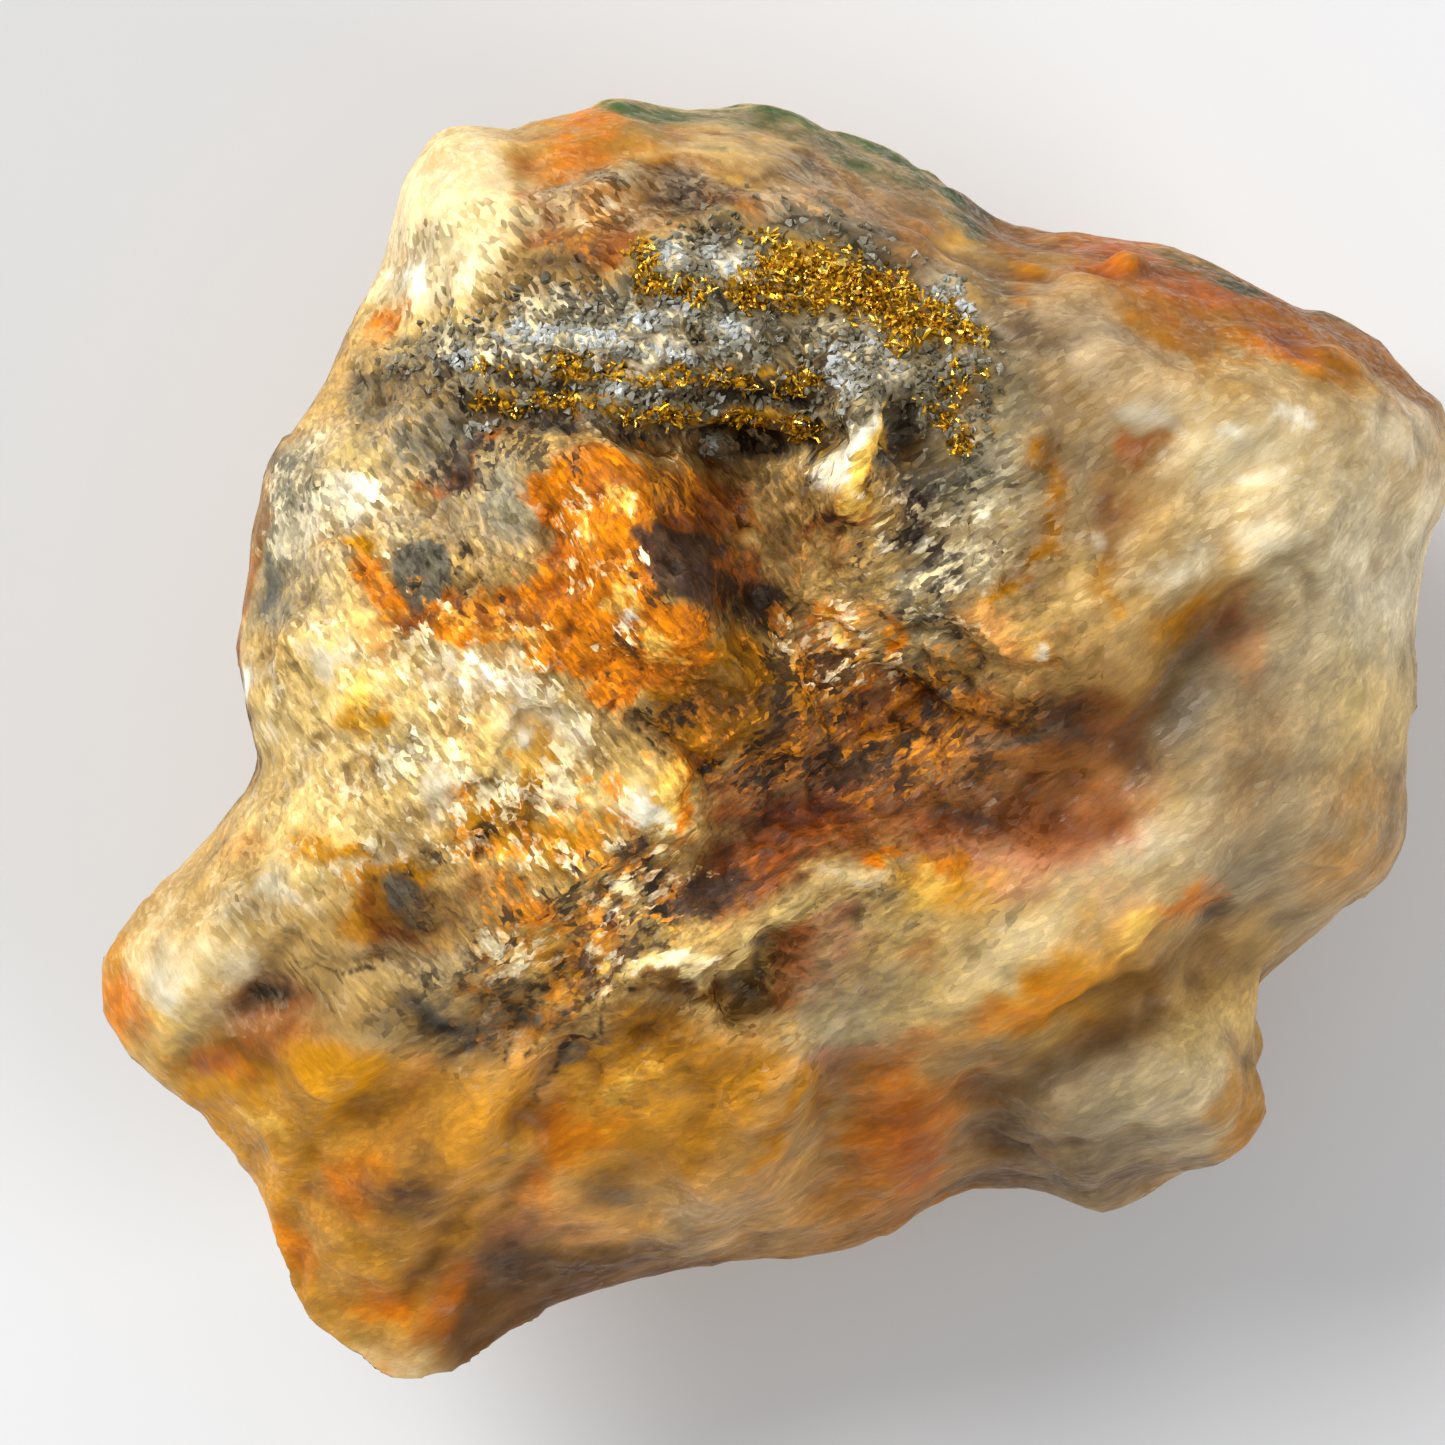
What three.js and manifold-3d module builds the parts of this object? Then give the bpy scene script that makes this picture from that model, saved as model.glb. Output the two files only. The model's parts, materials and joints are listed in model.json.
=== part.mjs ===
// A hand specimen of vein quartz with two seams of crystalline gold.
//
// Millimetres, +Z up. The stone lies on a small flat break on its underside, so the
// origin is the middle of its footprint, at the level of that flat. +X runs along the
// longest side and the gold-bearing face looks up, along +Z.
//
// The lump is a round ball that is reshaped in one pass: its plan outline, the height of
// its widest line and the height of its upper face are all given as sizes. Landforms such
// as ridges, ledges, furrows and pits are then added to the upper face, and flat breaks
// are struck across the underside. Each gold seam sits in a trench of its own.

import * as THREE from "three";
import { ImprovedNoise } from "three/addons/math/ImprovedNoise.js";
import { mergeVertices } from "three/addons/utils/BufferGeometryUtils.js";
import Module from "manifold-3d";

// ---- driving dimensions -------------------------------------------------------------

const LEFT = 1;
const RIGHT = -1;
const BALL_DETAIL = 17; // splits of each ball edge: sets how fine the facets are
const BALL_GIRTH = 104; // degrees from the top of the ball down to the stone's widest line
const PLAN_CENTRE = [0.6, 1.4]; // the point that the outline and the compass turn about
const UNDERSIDE_LEVEL = -1.1; // where the underside would end if the stone had no flat
const FACE_BLEND = 0.55; // how softly the faces of the stone round into each other
const BROW_ROUNDING = 0.6; // below 1, the brow of the upper face turns down steeply
const KEEL_ROUNDING = 0.68; // below 1, the widest line is rounded underneath too
const KEEL_SHARE = 2.4; // higher is a fuller, boxier underside
const MERGE = 1e-4; // vertices nearer than this are one
const SEAM_GAP = 0.3; // clearance between a gold seam and its trench

// Plan outline of the stone at its widest, anticlockwise from the right-hand side.
const OUTLINE = [
  [20.4, 8.6], [20.1, 10.3], [18.8, 11.8], [17.4, 12.6], [15.2, 13.4], [13.4, 14.2],
  [10.9, 15.1], [9.0, 15.4], [7.2, 15.5], [5.9, 16.1], [4.8, 17.1], [3.4, 17.8],
  [1.4, 18.6], [-1.0, 19.2], [-3.2, 19.2], [-4.8, 19.4], [-6.2, 18.8], [-8.1, 18.4],
  [-10.0, 18.6], [-10.9, 17.8], [-11.4, 16.4], [-11.8, 14.2], [-13.0, 12.2],
  [-13.6, 10.9], [-14.9, 9.1], [-15.7, 6.9], [-16.2, 4.3], [-16.4, 2.3], [-15.9, 0.6],
  [-15.5, -0.9], [-16.5, -2.1], [-17.8, -3.6], [-19.2, -5.0], [-20.1, -6.2],
  [-20.4, -8.0], [-19.9, -9.2], [-18.4, -10.4], [-17.0, -11.4], [-16.1, -12.7],
  [-15.4, -14.6], [-14.9, -16.2], [-14.1, -17.5], [-12.9, -18.5], [-11.6, -19.4],
  [-10.2, -19.0], [-8.0, -17.6], [-6.0, -16.5], [-4.0, -16.1], [-1.5, -15.7],
  [1.2, -15.5], [3.6, -14.6], [5.2, -13.7], [8.0, -13.4], [9.7, -14.0], [11.6, -13.3],
  [13.6, -12.8], [14.7, -11.3], [14.3, -9.4], [14.4, -7.7], [15.6, -6.5],
  [17.2, -5.0], [18.6, -3.6], [18.8, -1.8], [18.9, 0.6], [19.0, 2.9], [19.6, 5.8],
];

// Around the compass from +X, anticlockwise, one value every 30 degrees.
const WIDEST_LEVEL = [9.5, 9, 8.5, 10, 13, 15, 14.5, 12, 9.5, 7.5, 5.5, 7];
const BROW_SQUARENESS = [9, 10, 10, 10, 9, 9, 9, 8, 6, 7, 7, 8];

// The broad faces that the upper side is broken along: which way each one falls, how
// steeply, and a point that it passes through. The lowest one wins at every place.
const FACES = [
  { name: "gold_face", falls: -40, tilt: 3, through: [-3, 8, 21.4] },
  { name: "right_face", falls: -10, tilt: 14, through: [7.5, 5, 20.8] },
  { name: "far_right_face", falls: -22, tilt: 31, through: [15.8, 2, 18.4] },
  { name: "red_face", falls: -75, tilt: 17, through: [4, 1.2, 20.8] },
  { name: "lower_right_face", falls: -64, tilt: 31, through: [0, -5.2, 20.2] },
  { name: "bottom_face", falls: -78, tilt: 48, through: [1, -13.0, 15.2] },
  { name: "lower_left_face", falls: -118, tilt: 25, through: [-8, -5.5, 20.4] },
  { name: "tip_face", falls: -108, tilt: 42, through: [-11.4, -14.6, 15.2] },
  { name: "left_face", falls: 172, tilt: 20, through: [-10.5, 4, 20.6] },
  { name: "lobe_face", falls: 200, tilt: 34, through: [-15.6, -5, 18.4] },
  { name: "top_left_face", falls: 128, tilt: 24, through: [-8.5, 14, 20.6] },
  { name: "top_face", falls: 84, tilt: 52, through: [-2, 17.0, 20.0] },
  { name: "upper_right_face", falls: 72, tilt: 44, through: [11, 12.6, 18.8] },
];

// Landforms of the upper side. A positive height stands up; left and right are the
// half-widths on either side of the path, walking along it.
const LANDFORMS = [
  { name: "rust_ridge", height: 1.8, left: 2.3, right: 1.3,
    path: [[-2.2, 3.9], [-3.6, 4.8], [-4.3, 6.4], [-4.8, 7.6], [-5.8, 8.6]] },
  { name: "white_nose", height: 1.5, left: 1.5, right: 0.9,
    path: [[2.7, 10.0], [2.2, 8.8], [1.9, 7.6]] },
  { name: "pale_lip", height: 1.3, left: 0.9, right: 1.5,
    path: [[3.6, -3.5], [1.4, -3.9], [-0.6, -4.9], [-2.4, -6.1], [-4.2, -6.9], [-5.0, -8.0]] },
  { name: "peach_knuckles", height: 0.8, left: 0.9, right: 0.9,
    path: [[5.8, 3.9], [6.9, 3.1], [8.3, 3.0]] },
  { name: "amber_crest", height: 1.5, left: 2.0, right: 1.2,
    path: [[6.2, -8.2], [8.4, -6.9], [10.3, -5.7], [12.2, -4.3]] },
  { name: "tawny_rib", height: 1.3, left: 1.4, right: 1.1,
    path: [[-2.6, -14.2], [-0.8, -12.3], [0.4, -10.4]] },
  { name: "far_lobe", height: 1.6, left: 1.9, right: 1.9,
    path: [[9.6, -11.6], [12.0, -10.6], [13.6, -10.4]] },
  { name: "bright_brow", height: 0.9, left: 1.2, right: 1.6,
    path: [[7.8, 13.4], [9.6, 12.4], [11.4, 11.0], [14.2, 10.6]] },
  { name: "yellow_knob", height: 1.0, left: 1.0, right: 1.0,
    path: [[-3.4, -1.3], [-3.0, -2.0]] },
  { name: "left_cheek", height: 0.8, left: 2.0, right: 2.0,
    path: [[-13.6, 7.0], [-13.8, 4.0], [-13.2, 1.6]] },
  { name: "left_lobe_knob", height: 1.2, left: 1.5, right: 1.5,
    path: [[-18.6, -6.6], [-17.2, -5.8]] },
  { name: "low_fold", height: 1.0, left: 1.3, right: 1.6,
    path: [[-13.2, -9.6], [-14.8, -11.6], [-15.0, -13.6]] },
  { name: "brown_valley", height: -2.3, left: 2.0, right: 1.5,
    path: [[-1.6, 8.6], [-0.2, 6.8], [0.0, 4.4], [1.6, 2.4], [3.8, 1.2]] },
  { name: "red_hollow", height: -1.6, left: 2.2, right: 1.9,
    path: [[-1.2, -2.4], [1.6, -1.6], [4.8, -1.2], [8.4, -1.4]] },
  { name: "dark_furrow", height: -1.2, left: 1.1, right: 1.4,
    path: [[14.6, 4.2], [13.2, 3.4], [12.0, 2.2], [10.6, 0.4]] },
  { name: "umber_furrow", height: -0.8, left: 0.9, right: 1.0,
    path: [[10.4, 9.0], [9.7, 7.4], [8.8, 5.8], [8.0, 4.6]] },
  { name: "seam_trough", height: -0.6, left: 0.9, right: 0.9,
    path: [[-8.4, 12.7], [-4.0, 12.7], [0.2, 12.2], [3.2, 11.2]] },
  { name: "shade_valley", height: -1.9, left: 1.4, right: 2.0,
    path: [[15.0, -5.4], [12.4, -6.9], [9.2, -8.6], [6.6, -9.8], [5.9, -12.4]] },
  { name: "left_recess", height: -1.0, left: 1.0, right: 1.0,
    path: [[-17.4, -9.2], [-16.0, -8.2], [-14.8, -7.6]] },
  { name: "block_joint", height: -0.6, left: 0.9, right: 0.9,
    path: [[-7.9, 18.0], [-7.6, 16.4], [-7.4, 15.0]] },
  { name: "fold_groove", height: -0.9, left: 0.9, right: 0.9,
    path: [[-9.6, -9.8], [-12.2, -10.9], [-13.4, -12.2], [-14.0, -14.0], [-14.4, -15.6]] },
  { name: "nose_pit", height: -1.3, left: 0.9, right: 0.9, path: [[3.4, 9.6], [3.5, 9.3]] },
  { name: "lip_hollow", height: -1.4, left: 1.1, right: 1.1, path: [[-1.0, -6.9], [-0.8, -7.4]] },
];

// Ledges: the side of the path that is named steps down, then climbs back over its fade.
const LEDGES = [
  { name: "seam_ledge", drop: 1.0, fade: 1.7, lower: LEFT,
    path: [[1.6, 9.2], [-1.6, 9.5], [-4.6, 9.7], [-7.2, 10.0], [-9.8, 10.1]] },
  { name: "slip_step", drop: 1.8, fade: 3.4, lower: LEFT,
    path: [[-4.8, -7.6], [-6.4, -9.2], [-7.6, -10.7], [-8.6, -12.9], [-10.0, -14.4],
      [-10.8, -16.0], [-11.8, -17.4]] },
  { name: "ochre_step", drop: 0.9, fade: 1.6, lower: LEFT,
    path: [[-8.8, 0.8], [-7.6, -0.3], [-7.5, -1.4], [-8.2, -2.4]] },
];
const LEDGE_WIDTH = 1.0; // plan width of the steep part of a ledge

// Flat breaks across the underside: compass bearing, tilt below level, reach from the axis.
const BREAKS = [
  [4, 31, 14.6], [44, 55, 12.8], [84, 24, 14.4], [118, 52, 13.2], [150, 20, 15.4],
  [176, 42, 13.6], [206, 58, 13.4], [238, 30, 14.2], [268, 50, 11.8], [296, 28, 12.6],
  [330, 44, 12.0],
];
const BREAK_PIVOT = new THREE.Vector3(PLAN_CENTRE[0], PLAN_CENTRE[1], 9);
const BREAK_ONSET = 1.6; // the breaks bite fully this far below the widest line

// Roughness of the broken quartz: size of the lumps and how far they stand out.
const LUMPS = [
  { size: 4.6, height: 0.5 },
  { size: 2.1, height: 0.24 },
];
const FLANK_LUMPS = [{ size: 8.5, height: 1.5 }]; // more of them, below the widest line

// Gold seams: path, half-width, thickness above and below the quartz face.
const SEAMS = [
  { name: "gold_upper_seam", halfWidth: 1.5, above: 0.55, below: 0.75, around: 12, along: 30,
    path: [[-4.6, 14.2], [-2.6, 14.5], [-0.2, 14.4], [2.0, 13.7], [4.2, 12.7], [6.4, 11.6]] },
  { name: "gold_lower_seam", halfWidth: 0.8, above: 0.45, below: 0.6, around: 10, along: 36,
    path: [[-12.0, 11.0], [-9.4, 10.8], [-6.6, 10.8], [-3.8, 10.8], [-1.2, 10.5], [1.2, 10.0]] },
  { name: "gold_side_cluster", halfWidth: 0.55, above: 0.4, below: 0.5, around: 10, along: 12,
    path: [[5.0, 10.8], [5.2, 9.9], [5.5, 9.1]] },
];

// ---- small helpers ------------------------------------------------------------------

const FULL_TURN = Math.PI * 2;
const radians = (degrees) => (degrees * Math.PI) / 180;
const smooth = (t) => t * t * (3 - 2 * t);
const clamp01 = (t) => Math.min(1, Math.max(0, t));
const perlin = new ImprovedNoise();

// A value that runs smoothly round the compass through evenly spaced stations.
function aroundCompass(values, bearing) {
  const place = (((bearing % FULL_TURN) + FULL_TURN) % FULL_TURN) / FULL_TURN * values.length;
  const station = Math.floor(place);
  const next = values[(station + 1) % values.length];
  return THREE.MathUtils.lerp(values[station % values.length], next, smooth(place - station));
}

// The nearest point of a path: how far off it is, on which side, and how far along it lies.
function offPath(path, x, y) {
  let best = { distance: Infinity, side: LEFT, along: 0 };
  for (let i = 1; i < path.length; i++) {
    const [ax, ay] = path[i - 1];
    const [bx, by] = path[i];
    const [dx, dy] = [bx - ax, by - ay];
    const share = clamp01(((x - ax) * dx + (y - ay) * dy) / (dx * dx + dy * dy));
    const distance = Math.hypot(x - ax - dx * share, y - ay - dy * share);
    if (distance < best.distance) {
      const side = dx * (y - ay) - dy * (x - ax) >= 0 ? LEFT : RIGHT;
      best = { distance, side, along: (i - 1 + share) / (path.length - 1) };
    }
  }
  return best;
}

// ---- the plan outline as a reach in each direction -------------------------------------

const outlineCurve = new THREE.CatmullRomCurve3(
  OUTLINE.map(([x, y]) => new THREE.Vector3(x - PLAN_CENTRE[0], y - PLAN_CENTRE[1], 0)),
  true,
  "centripetal",
);
const OUTLINE_SAMPLES = 720;
const reaches = outlineCurve
  .getPoints(OUTLINE_SAMPLES)
  .map((p) => ({ bearing: (Math.atan2(p.y, p.x) + FULL_TURN) % FULL_TURN, reach: Math.hypot(p.x, p.y) }))
  .sort((a, b) => a.bearing - b.bearing);

function outlineReach(bearing) {
  const wanted = (bearing + FULL_TURN) % FULL_TURN;
  let after = reaches.findIndex((r) => r.bearing >= wanted);
  if (after < 0) after = 0;
  const next = reaches[after];
  const last = reaches[(after + reaches.length - 1) % reaches.length];
  const span = (next.bearing - last.bearing + FULL_TURN) % FULL_TURN;
  const share = span > 1e-9 ? ((wanted - last.bearing + FULL_TURN) % FULL_TURN) / span : 0;
  return THREE.MathUtils.lerp(last.reach, next.reach, share);
}

// ---- the upper side as a height over each point ------------------------------------------

function brokenFaces(x, y) {
  const weights = FACES.map(({ falls, tilt, through: [px, py, pz] }) => {
    const downhill = (x - px) * Math.cos(radians(falls)) + (y - py) * Math.sin(radians(falls));
    return Math.exp(-(pz - Math.tan(radians(tilt)) * downhill) / FACE_BLEND);
  });
  return -FACE_BLEND * Math.log(weights.reduce((sum, weight) => sum + weight, 0));
}

function landforms(x, y) {
  let height = 0;
  for (const form of LANDFORMS) {
    const { distance, side } = offPath(form.path, x, y);
    height += form.height * Math.exp(-((distance / (side === LEFT ? form.left : form.right)) ** 2));
  }
  for (const ledge of LEDGES) {
    const { distance, side, along } = offPath(ledge.path, x, y);
    const inward = distance * (side === ledge.lower ? 1 : -1);
    const ends = smooth(clamp01(Math.min(along, 1 - along) / 0.2));
    const step = smooth(clamp01(inward / LEDGE_WIDTH + 0.5));
    height -= ledge.drop * ends * step * Math.exp(-((distance / ledge.fade) ** 2));
  }
  return height;
}

function roughness(x, y, z, sizes = LUMPS) {
  return sizes.reduce(
    (sum, { size, height }) => sum + height * perlin.noise(x / size, y / size, z / size), 0);
}

function upperHeight(bearing, share, x, y) {
  const widest = aroundCompass(WIDEST_LEVEL, bearing);
  const inside = (1 - share ** aroundCompass(BROW_SQUARENESS, bearing)) ** BROW_ROUNDING;
  return THREE.MathUtils.lerp(widest, brokenFaces(x, y) + landforms(x, y), inside);
}

// The height of the upper side over a point inside the outline.
function faceHeightAt(x, y) {
  const [dx, dy] = [x - PLAN_CENTRE[0], y - PLAN_CENTRE[1]];
  const bearing = Math.atan2(dy, dx);
  const share = Math.min(1, Math.hypot(dx, dy) / outlineReach(bearing));
  const height = upperHeight(bearing, share, x, y);
  return height + roughness(x, y, height);
}

// ---- the quartz lump ---------------------------------------------------------------------

const breakPlanes = BREAKS.map(([bearing, tilt, reach]) => ({
  normal: new THREE.Vector3(
    Math.cos(radians(bearing)) * Math.cos(radians(tilt)),
    Math.sin(radians(bearing)) * Math.cos(radians(tilt)),
    -Math.sin(radians(tilt)),
  ),
  reach,
}));

// Pushes a point of the underside back onto every flat break that it stands proud of.
function struckFlat(point, depth) {
  for (const { normal, reach } of breakPlanes) {
    const proud = point.clone().sub(BREAK_PIVOT).dot(normal) - reach;
    if (proud > 0) point.addScaledVector(normal, -proud * depth);
  }
  return point;
}

// Moves a point of the ball to its place on the stone, before roughness and breaks.
function shaped(point) {
  const bearing = Math.atan2(point.y, point.x);
  const fromTop = (Math.acos(THREE.MathUtils.clamp(point.z, -1, 1)) * 180) / Math.PI;
  const above = fromTop <= BALL_GIRTH;
  const quarter = above ? fromTop / BALL_GIRTH : (180 - fromTop) / (180 - BALL_GIRTH);
  const share = Math.sin(quarter * Math.PI / 2);
  const reach = outlineReach(bearing) * share;
  const x = PLAN_CENTRE[0] + Math.cos(bearing) * reach;
  const y = PLAN_CENTRE[1] + Math.sin(bearing) * reach;
  if (above) return point.set(x, y, upperHeight(bearing, share, x, y));
  const inside = (1 - share ** KEEL_SHARE) ** KEEL_ROUNDING;
  return point.set(
    x, y, THREE.MathUtils.lerp(aroundCompass(WIDEST_LEVEL, bearing), UNDERSIDE_LEVEL, inside));
}

function quartzGeometry() {
  const ball = new THREE.IcosahedronGeometry(1, BALL_DETAIL);
  ball.deleteAttribute("normal");
  ball.deleteAttribute("uv");
  const stone = mergeVertices(ball, MERGE);
  const places = stone.attributes.position;
  const point = new THREE.Vector3();
  for (let i = 0; i < places.count; i++) {
    shaped(point.fromBufferAttribute(places, i));
    places.setXYZ(i, point.x, point.y, point.z);
  }
  stone.computeVertexNormals();
  const outward = new THREE.Vector3();
  for (let i = 0; i < places.count; i++) {
    point.fromBufferAttribute(places, i);
    outward.fromBufferAttribute(stone.attributes.normal, i);
    const bearing = Math.atan2(point.y - PLAN_CENTRE[1], point.x - PLAN_CENTRE[0]);
    const below = aroundCompass(WIDEST_LEVEL, bearing) - point.z;
    const calm = 1 - 0.7 * Math.exp(-((below / 2) ** 2)); // keeps the plan outline true
    const under = smooth(clamp01(below / BREAK_ONSET));
    const lump = roughness(...point) + under * roughness(...point, FLANK_LUMPS);
    struckFlat(point.addScaledVector(outward, calm * lump), under);
    places.setXYZ(i, point.x, point.y, point.z);
  }
  stone.deleteAttribute("normal");
  return stone;
}

// ---- the gold seams ------------------------------------------------------------------------

// A seam is a ball drawn out along its path and laid over the quartz face. With grow, it is
// the trench that holds the seam, larger all round by that much.
function seamGeometry(seam, grow = 0) {
  const ball = new THREE.SphereGeometry(1, seam.around, seam.along);
  ball.deleteAttribute("normal");
  ball.deleteAttribute("uv");
  const body = mergeVertices(ball, MERGE);
  const places = body.attributes.position;
  const line = new THREE.CatmullRomCurve3(seam.path.map(([x, y]) => new THREE.Vector3(x, y, 0)));
  const stretch = 1 + grow / line.getLength();
  const point = new THREE.Vector3();
  for (let i = 0; i < places.count; i++) {
    point.fromBufferAttribute(places, i);
    const along = clamp01(0.5 + (point.y / 2) * stretch);
    const overrun = (0.5 + (point.y / 2) * stretch - along) * line.getLength();
    const heading = line.getTangent(along);
    const round = Math.max(0, 1 - point.y * point.y) ** 0.3;
    const spin = Math.atan2(point.z, point.x);
    const wander = 1 + 0.5 * perlin.noise(along * 9, seam.halfWidth * 7, 0.4);
    const across = Math.cos(spin) * round * (seam.halfWidth * wander + grow);
    const middle = line.getPoint(along);
    const x = middle.x + heading.x * overrun - heading.y * across;
    const y = middle.y + heading.y * overrun + heading.x * across;
    const lift = Math.sin(spin) > 0 ? seam.above : seam.below;
    const z = faceHeightAt(x, y) + Math.sin(spin) * round * (lift + grow);
    places.setXYZ(i, x, y, z);
  }
  return body;
}

// ---- solids ----------------------------------------------------------------------------------

const wasm = await Module();
wasm.setup();

function solidFrom(geometry) {
  const merged = mergeVertices(geometry, MERGE);
  const solid = new wasm.Manifold(new wasm.Mesh({
    numProp: 3,
    vertProperties: new Float32Array(merged.attributes.position.array),
    triVerts: new Uint32Array(merged.index.array),
  }));
  return solid.volume() < 0
    ? solidFrom(merged.clone().setIndex([...merged.index.array].reverse()))
    : solid;
}

function geometryFrom(solid) {
  const mesh = solid.getMesh();
  const places = new Float32Array(mesh.numVert * 3);
  for (let i = 0; i < mesh.numVert; i++) {
    places.set(mesh.vertProperties.subarray(i * mesh.numProp, i * mesh.numProp + 3), i * 3);
  }
  const geometry = new THREE.BufferGeometry();
  geometry.setAttribute("position", new THREE.BufferAttribute(places, 3));
  geometry.setIndex(new THREE.BufferAttribute(new Uint32Array(mesh.triVerts), 1));
  return geometry;
}

// Everything above the level that the stone rests on.
const CLEAR = 60;
const aboveRest = new THREE.BoxGeometry(CLEAR, CLEAR, CLEAR);
aboveRest.deleteAttribute("normal");
aboveRest.deleteAttribute("uv");
aboveRest.translate(0, 0, CLEAR / 2);

let quartz = solidFrom(quartzGeometry()).intersect(solidFrom(aboveRest));
for (const seam of SEAMS) {
  quartz = quartz.subtract(solidFrom(seamGeometry(seam, SEAM_GAP)));
}

// ---- the part ----------------------------------------------------------------------------------

const quartzFinish = new THREE.MeshStandardMaterial({
  color: 0xc9b48c, roughness: 0.5, metalness: 0,
});
const goldFinish = new THREE.MeshStandardMaterial({
  color: 0xc8921e, roughness: 0.35, metalness: 1,
});

function namedMesh(name, geometry, material) {
  const mesh = new THREE.Mesh(geometry, material);
  mesh.name = name;
  return mesh;
}

const specimen = new THREE.Group();
specimen.add(namedMesh("quartz_matrix", geometryFrom(quartz), quartzFinish));
for (const seam of SEAMS) {
  specimen.add(namedMesh(seam.name, geometryFrom(solidFrom(seamGeometry(seam))), goldFinish));
}

// The middle of the footprint becomes the origin; the rest flat is already at z = 0.
const footprint = new THREE.Box3().setFromObject(specimen).getCenter(new THREE.Vector3());
specimen.position.set(-footprint.x, -footprint.y, 0);

export default specimen;
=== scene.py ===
# %% [markdown]
# # Gold in vein quartz
# This lesson dresses one hand specimen: a broken lump of milky vein quartz, stained by iron,
# with two seams of granular gold across its upper face. The lump could be sculpted by hand or
# grown from a ball. Here it starts from the measured CAD solid, so its size and its main forms
# are already right, and Blender only adds what is too fine for CAD: grains, cracks, stains and
# the gold itself.

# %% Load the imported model
import json
import math

import bpy
import numpy as np
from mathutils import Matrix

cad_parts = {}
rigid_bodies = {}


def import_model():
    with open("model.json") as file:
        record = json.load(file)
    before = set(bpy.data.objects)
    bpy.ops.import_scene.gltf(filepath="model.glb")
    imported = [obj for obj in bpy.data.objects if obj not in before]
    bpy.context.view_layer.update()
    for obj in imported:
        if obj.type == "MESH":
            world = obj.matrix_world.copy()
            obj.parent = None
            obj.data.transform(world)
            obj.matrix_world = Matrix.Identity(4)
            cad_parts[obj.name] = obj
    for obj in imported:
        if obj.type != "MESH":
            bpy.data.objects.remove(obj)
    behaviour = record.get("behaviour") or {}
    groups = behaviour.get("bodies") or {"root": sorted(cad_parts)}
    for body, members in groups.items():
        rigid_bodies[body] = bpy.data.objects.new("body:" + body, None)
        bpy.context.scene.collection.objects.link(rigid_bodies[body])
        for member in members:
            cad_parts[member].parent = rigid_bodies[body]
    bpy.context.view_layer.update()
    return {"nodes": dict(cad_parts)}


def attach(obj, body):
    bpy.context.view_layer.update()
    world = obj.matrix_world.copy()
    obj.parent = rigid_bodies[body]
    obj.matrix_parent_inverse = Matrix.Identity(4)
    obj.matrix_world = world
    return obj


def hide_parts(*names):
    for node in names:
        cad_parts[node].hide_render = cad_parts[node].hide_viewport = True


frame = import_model()
MM = 0.001
print("CAD nodes:", sorted(frame["nodes"]))

# %% [markdown]
# ## Looking straight down
# The stone lies on its back with the gold-bearing face up, so the camera looks straight down.
# A close lens would bend the outline. A long lens from far away keeps it as it was measured:
# at the level of the stone's widest line, the picture is VIEW_WIDTH across.

# %% Camera
scene = bpy.context.scene
VIEW_WIDTH = 43.35  # mm across the picture, at VIEW_LEVEL
VIEW_LEVEL = 11.0  # mm above the table: the stone's widest line
VIEW_CENTRE = (-1.755, 0.675)  # mm
LENS = 500.0
SENSOR = 36.0
CAMERA_HEIGHT = VIEW_WIDTH * LENS / SENSOR  # mm above VIEW_LEVEL

camera_data = bpy.data.cameras.new("camera")
camera_data.lens = LENS
camera_data.sensor_width = SENSOR
camera_data.clip_start = 0.01
camera_data.clip_end = 20.0
camera = bpy.data.objects.new("camera", camera_data)
camera.location = (VIEW_CENTRE[0] * MM, VIEW_CENTRE[1] * MM, (VIEW_LEVEL + CAMERA_HEIGHT) * MM)
scene.collection.objects.link(camera)
scene.camera = camera
print("camera height", round(camera.location.z, 4), "m")

# %% [markdown]
# ## Soft light from the upper left
# A window light from the upper left shapes the ridges, and a white room fills the shaded lower
# right. Area lamps would do, but they leave the far end of the table dark in a low view. Sun
# lamps with a wide angle give the same soft edges and light the whole table evenly. The room
# is lit less than it looks: a backdrop as bright as the table would wash the shadows out.

# %% Lights, world and table
SUN_WIDTH = 34.0  # degrees that each soft light fills, as a large window does


def soft_sun(name, place, strength, colour=(1.0, 1.0, 1.0)):
    """Soft parallel light that comes from the direction of place."""
    data = bpy.data.lights.new(name, "SUN")
    data.energy = strength
    data.angle = math.radians(SUN_WIDTH)
    data.color = colour
    lamp = bpy.data.objects.new(name, data)
    lamp.location = [value * MM for value in place]
    flat = math.hypot(place[0], place[1])
    lamp.rotation_euler = (math.atan2(flat, place[2]), 0.0, math.atan2(-place[1], -place[0]) - math.pi / 2)
    scene.collection.objects.link(lamp)
    return lamp


soft_sun("window", (-220, 185, 233), 3.3, (1.0, 0.995, 0.98))
soft_sun("room_fill", (250, -150, 192), 1.4)
soft_sun("back_fill", (40, 300, 112), 0.55)

ROOM_LIGHT, ROOM_LOOK = 0.45, 0.96
world = bpy.data.worlds.new("white_room")
world.use_nodes = True
room = world.node_tree.nodes["Background"]
room.inputs["Color"].default_value = (0.98, 0.99, 1.0, 1.0)
room.inputs["Strength"].default_value = ROOM_LIGHT
backdrop = world.node_tree.nodes.new("ShaderNodeBackground")
backdrop.inputs["Color"].default_value = (0.98, 0.985, 0.99, 1.0)
backdrop.inputs["Strength"].default_value = ROOM_LOOK
ray = world.node_tree.nodes.new("ShaderNodeLightPath")
either = world.node_tree.nodes.new("ShaderNodeMixShader")
world.node_tree.links.new(ray.outputs["Is Camera Ray"], either.inputs["Fac"])
world.node_tree.links.new(room.outputs["Background"], either.inputs[1])
world.node_tree.links.new(backdrop.outputs["Background"], either.inputs[2])
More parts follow.
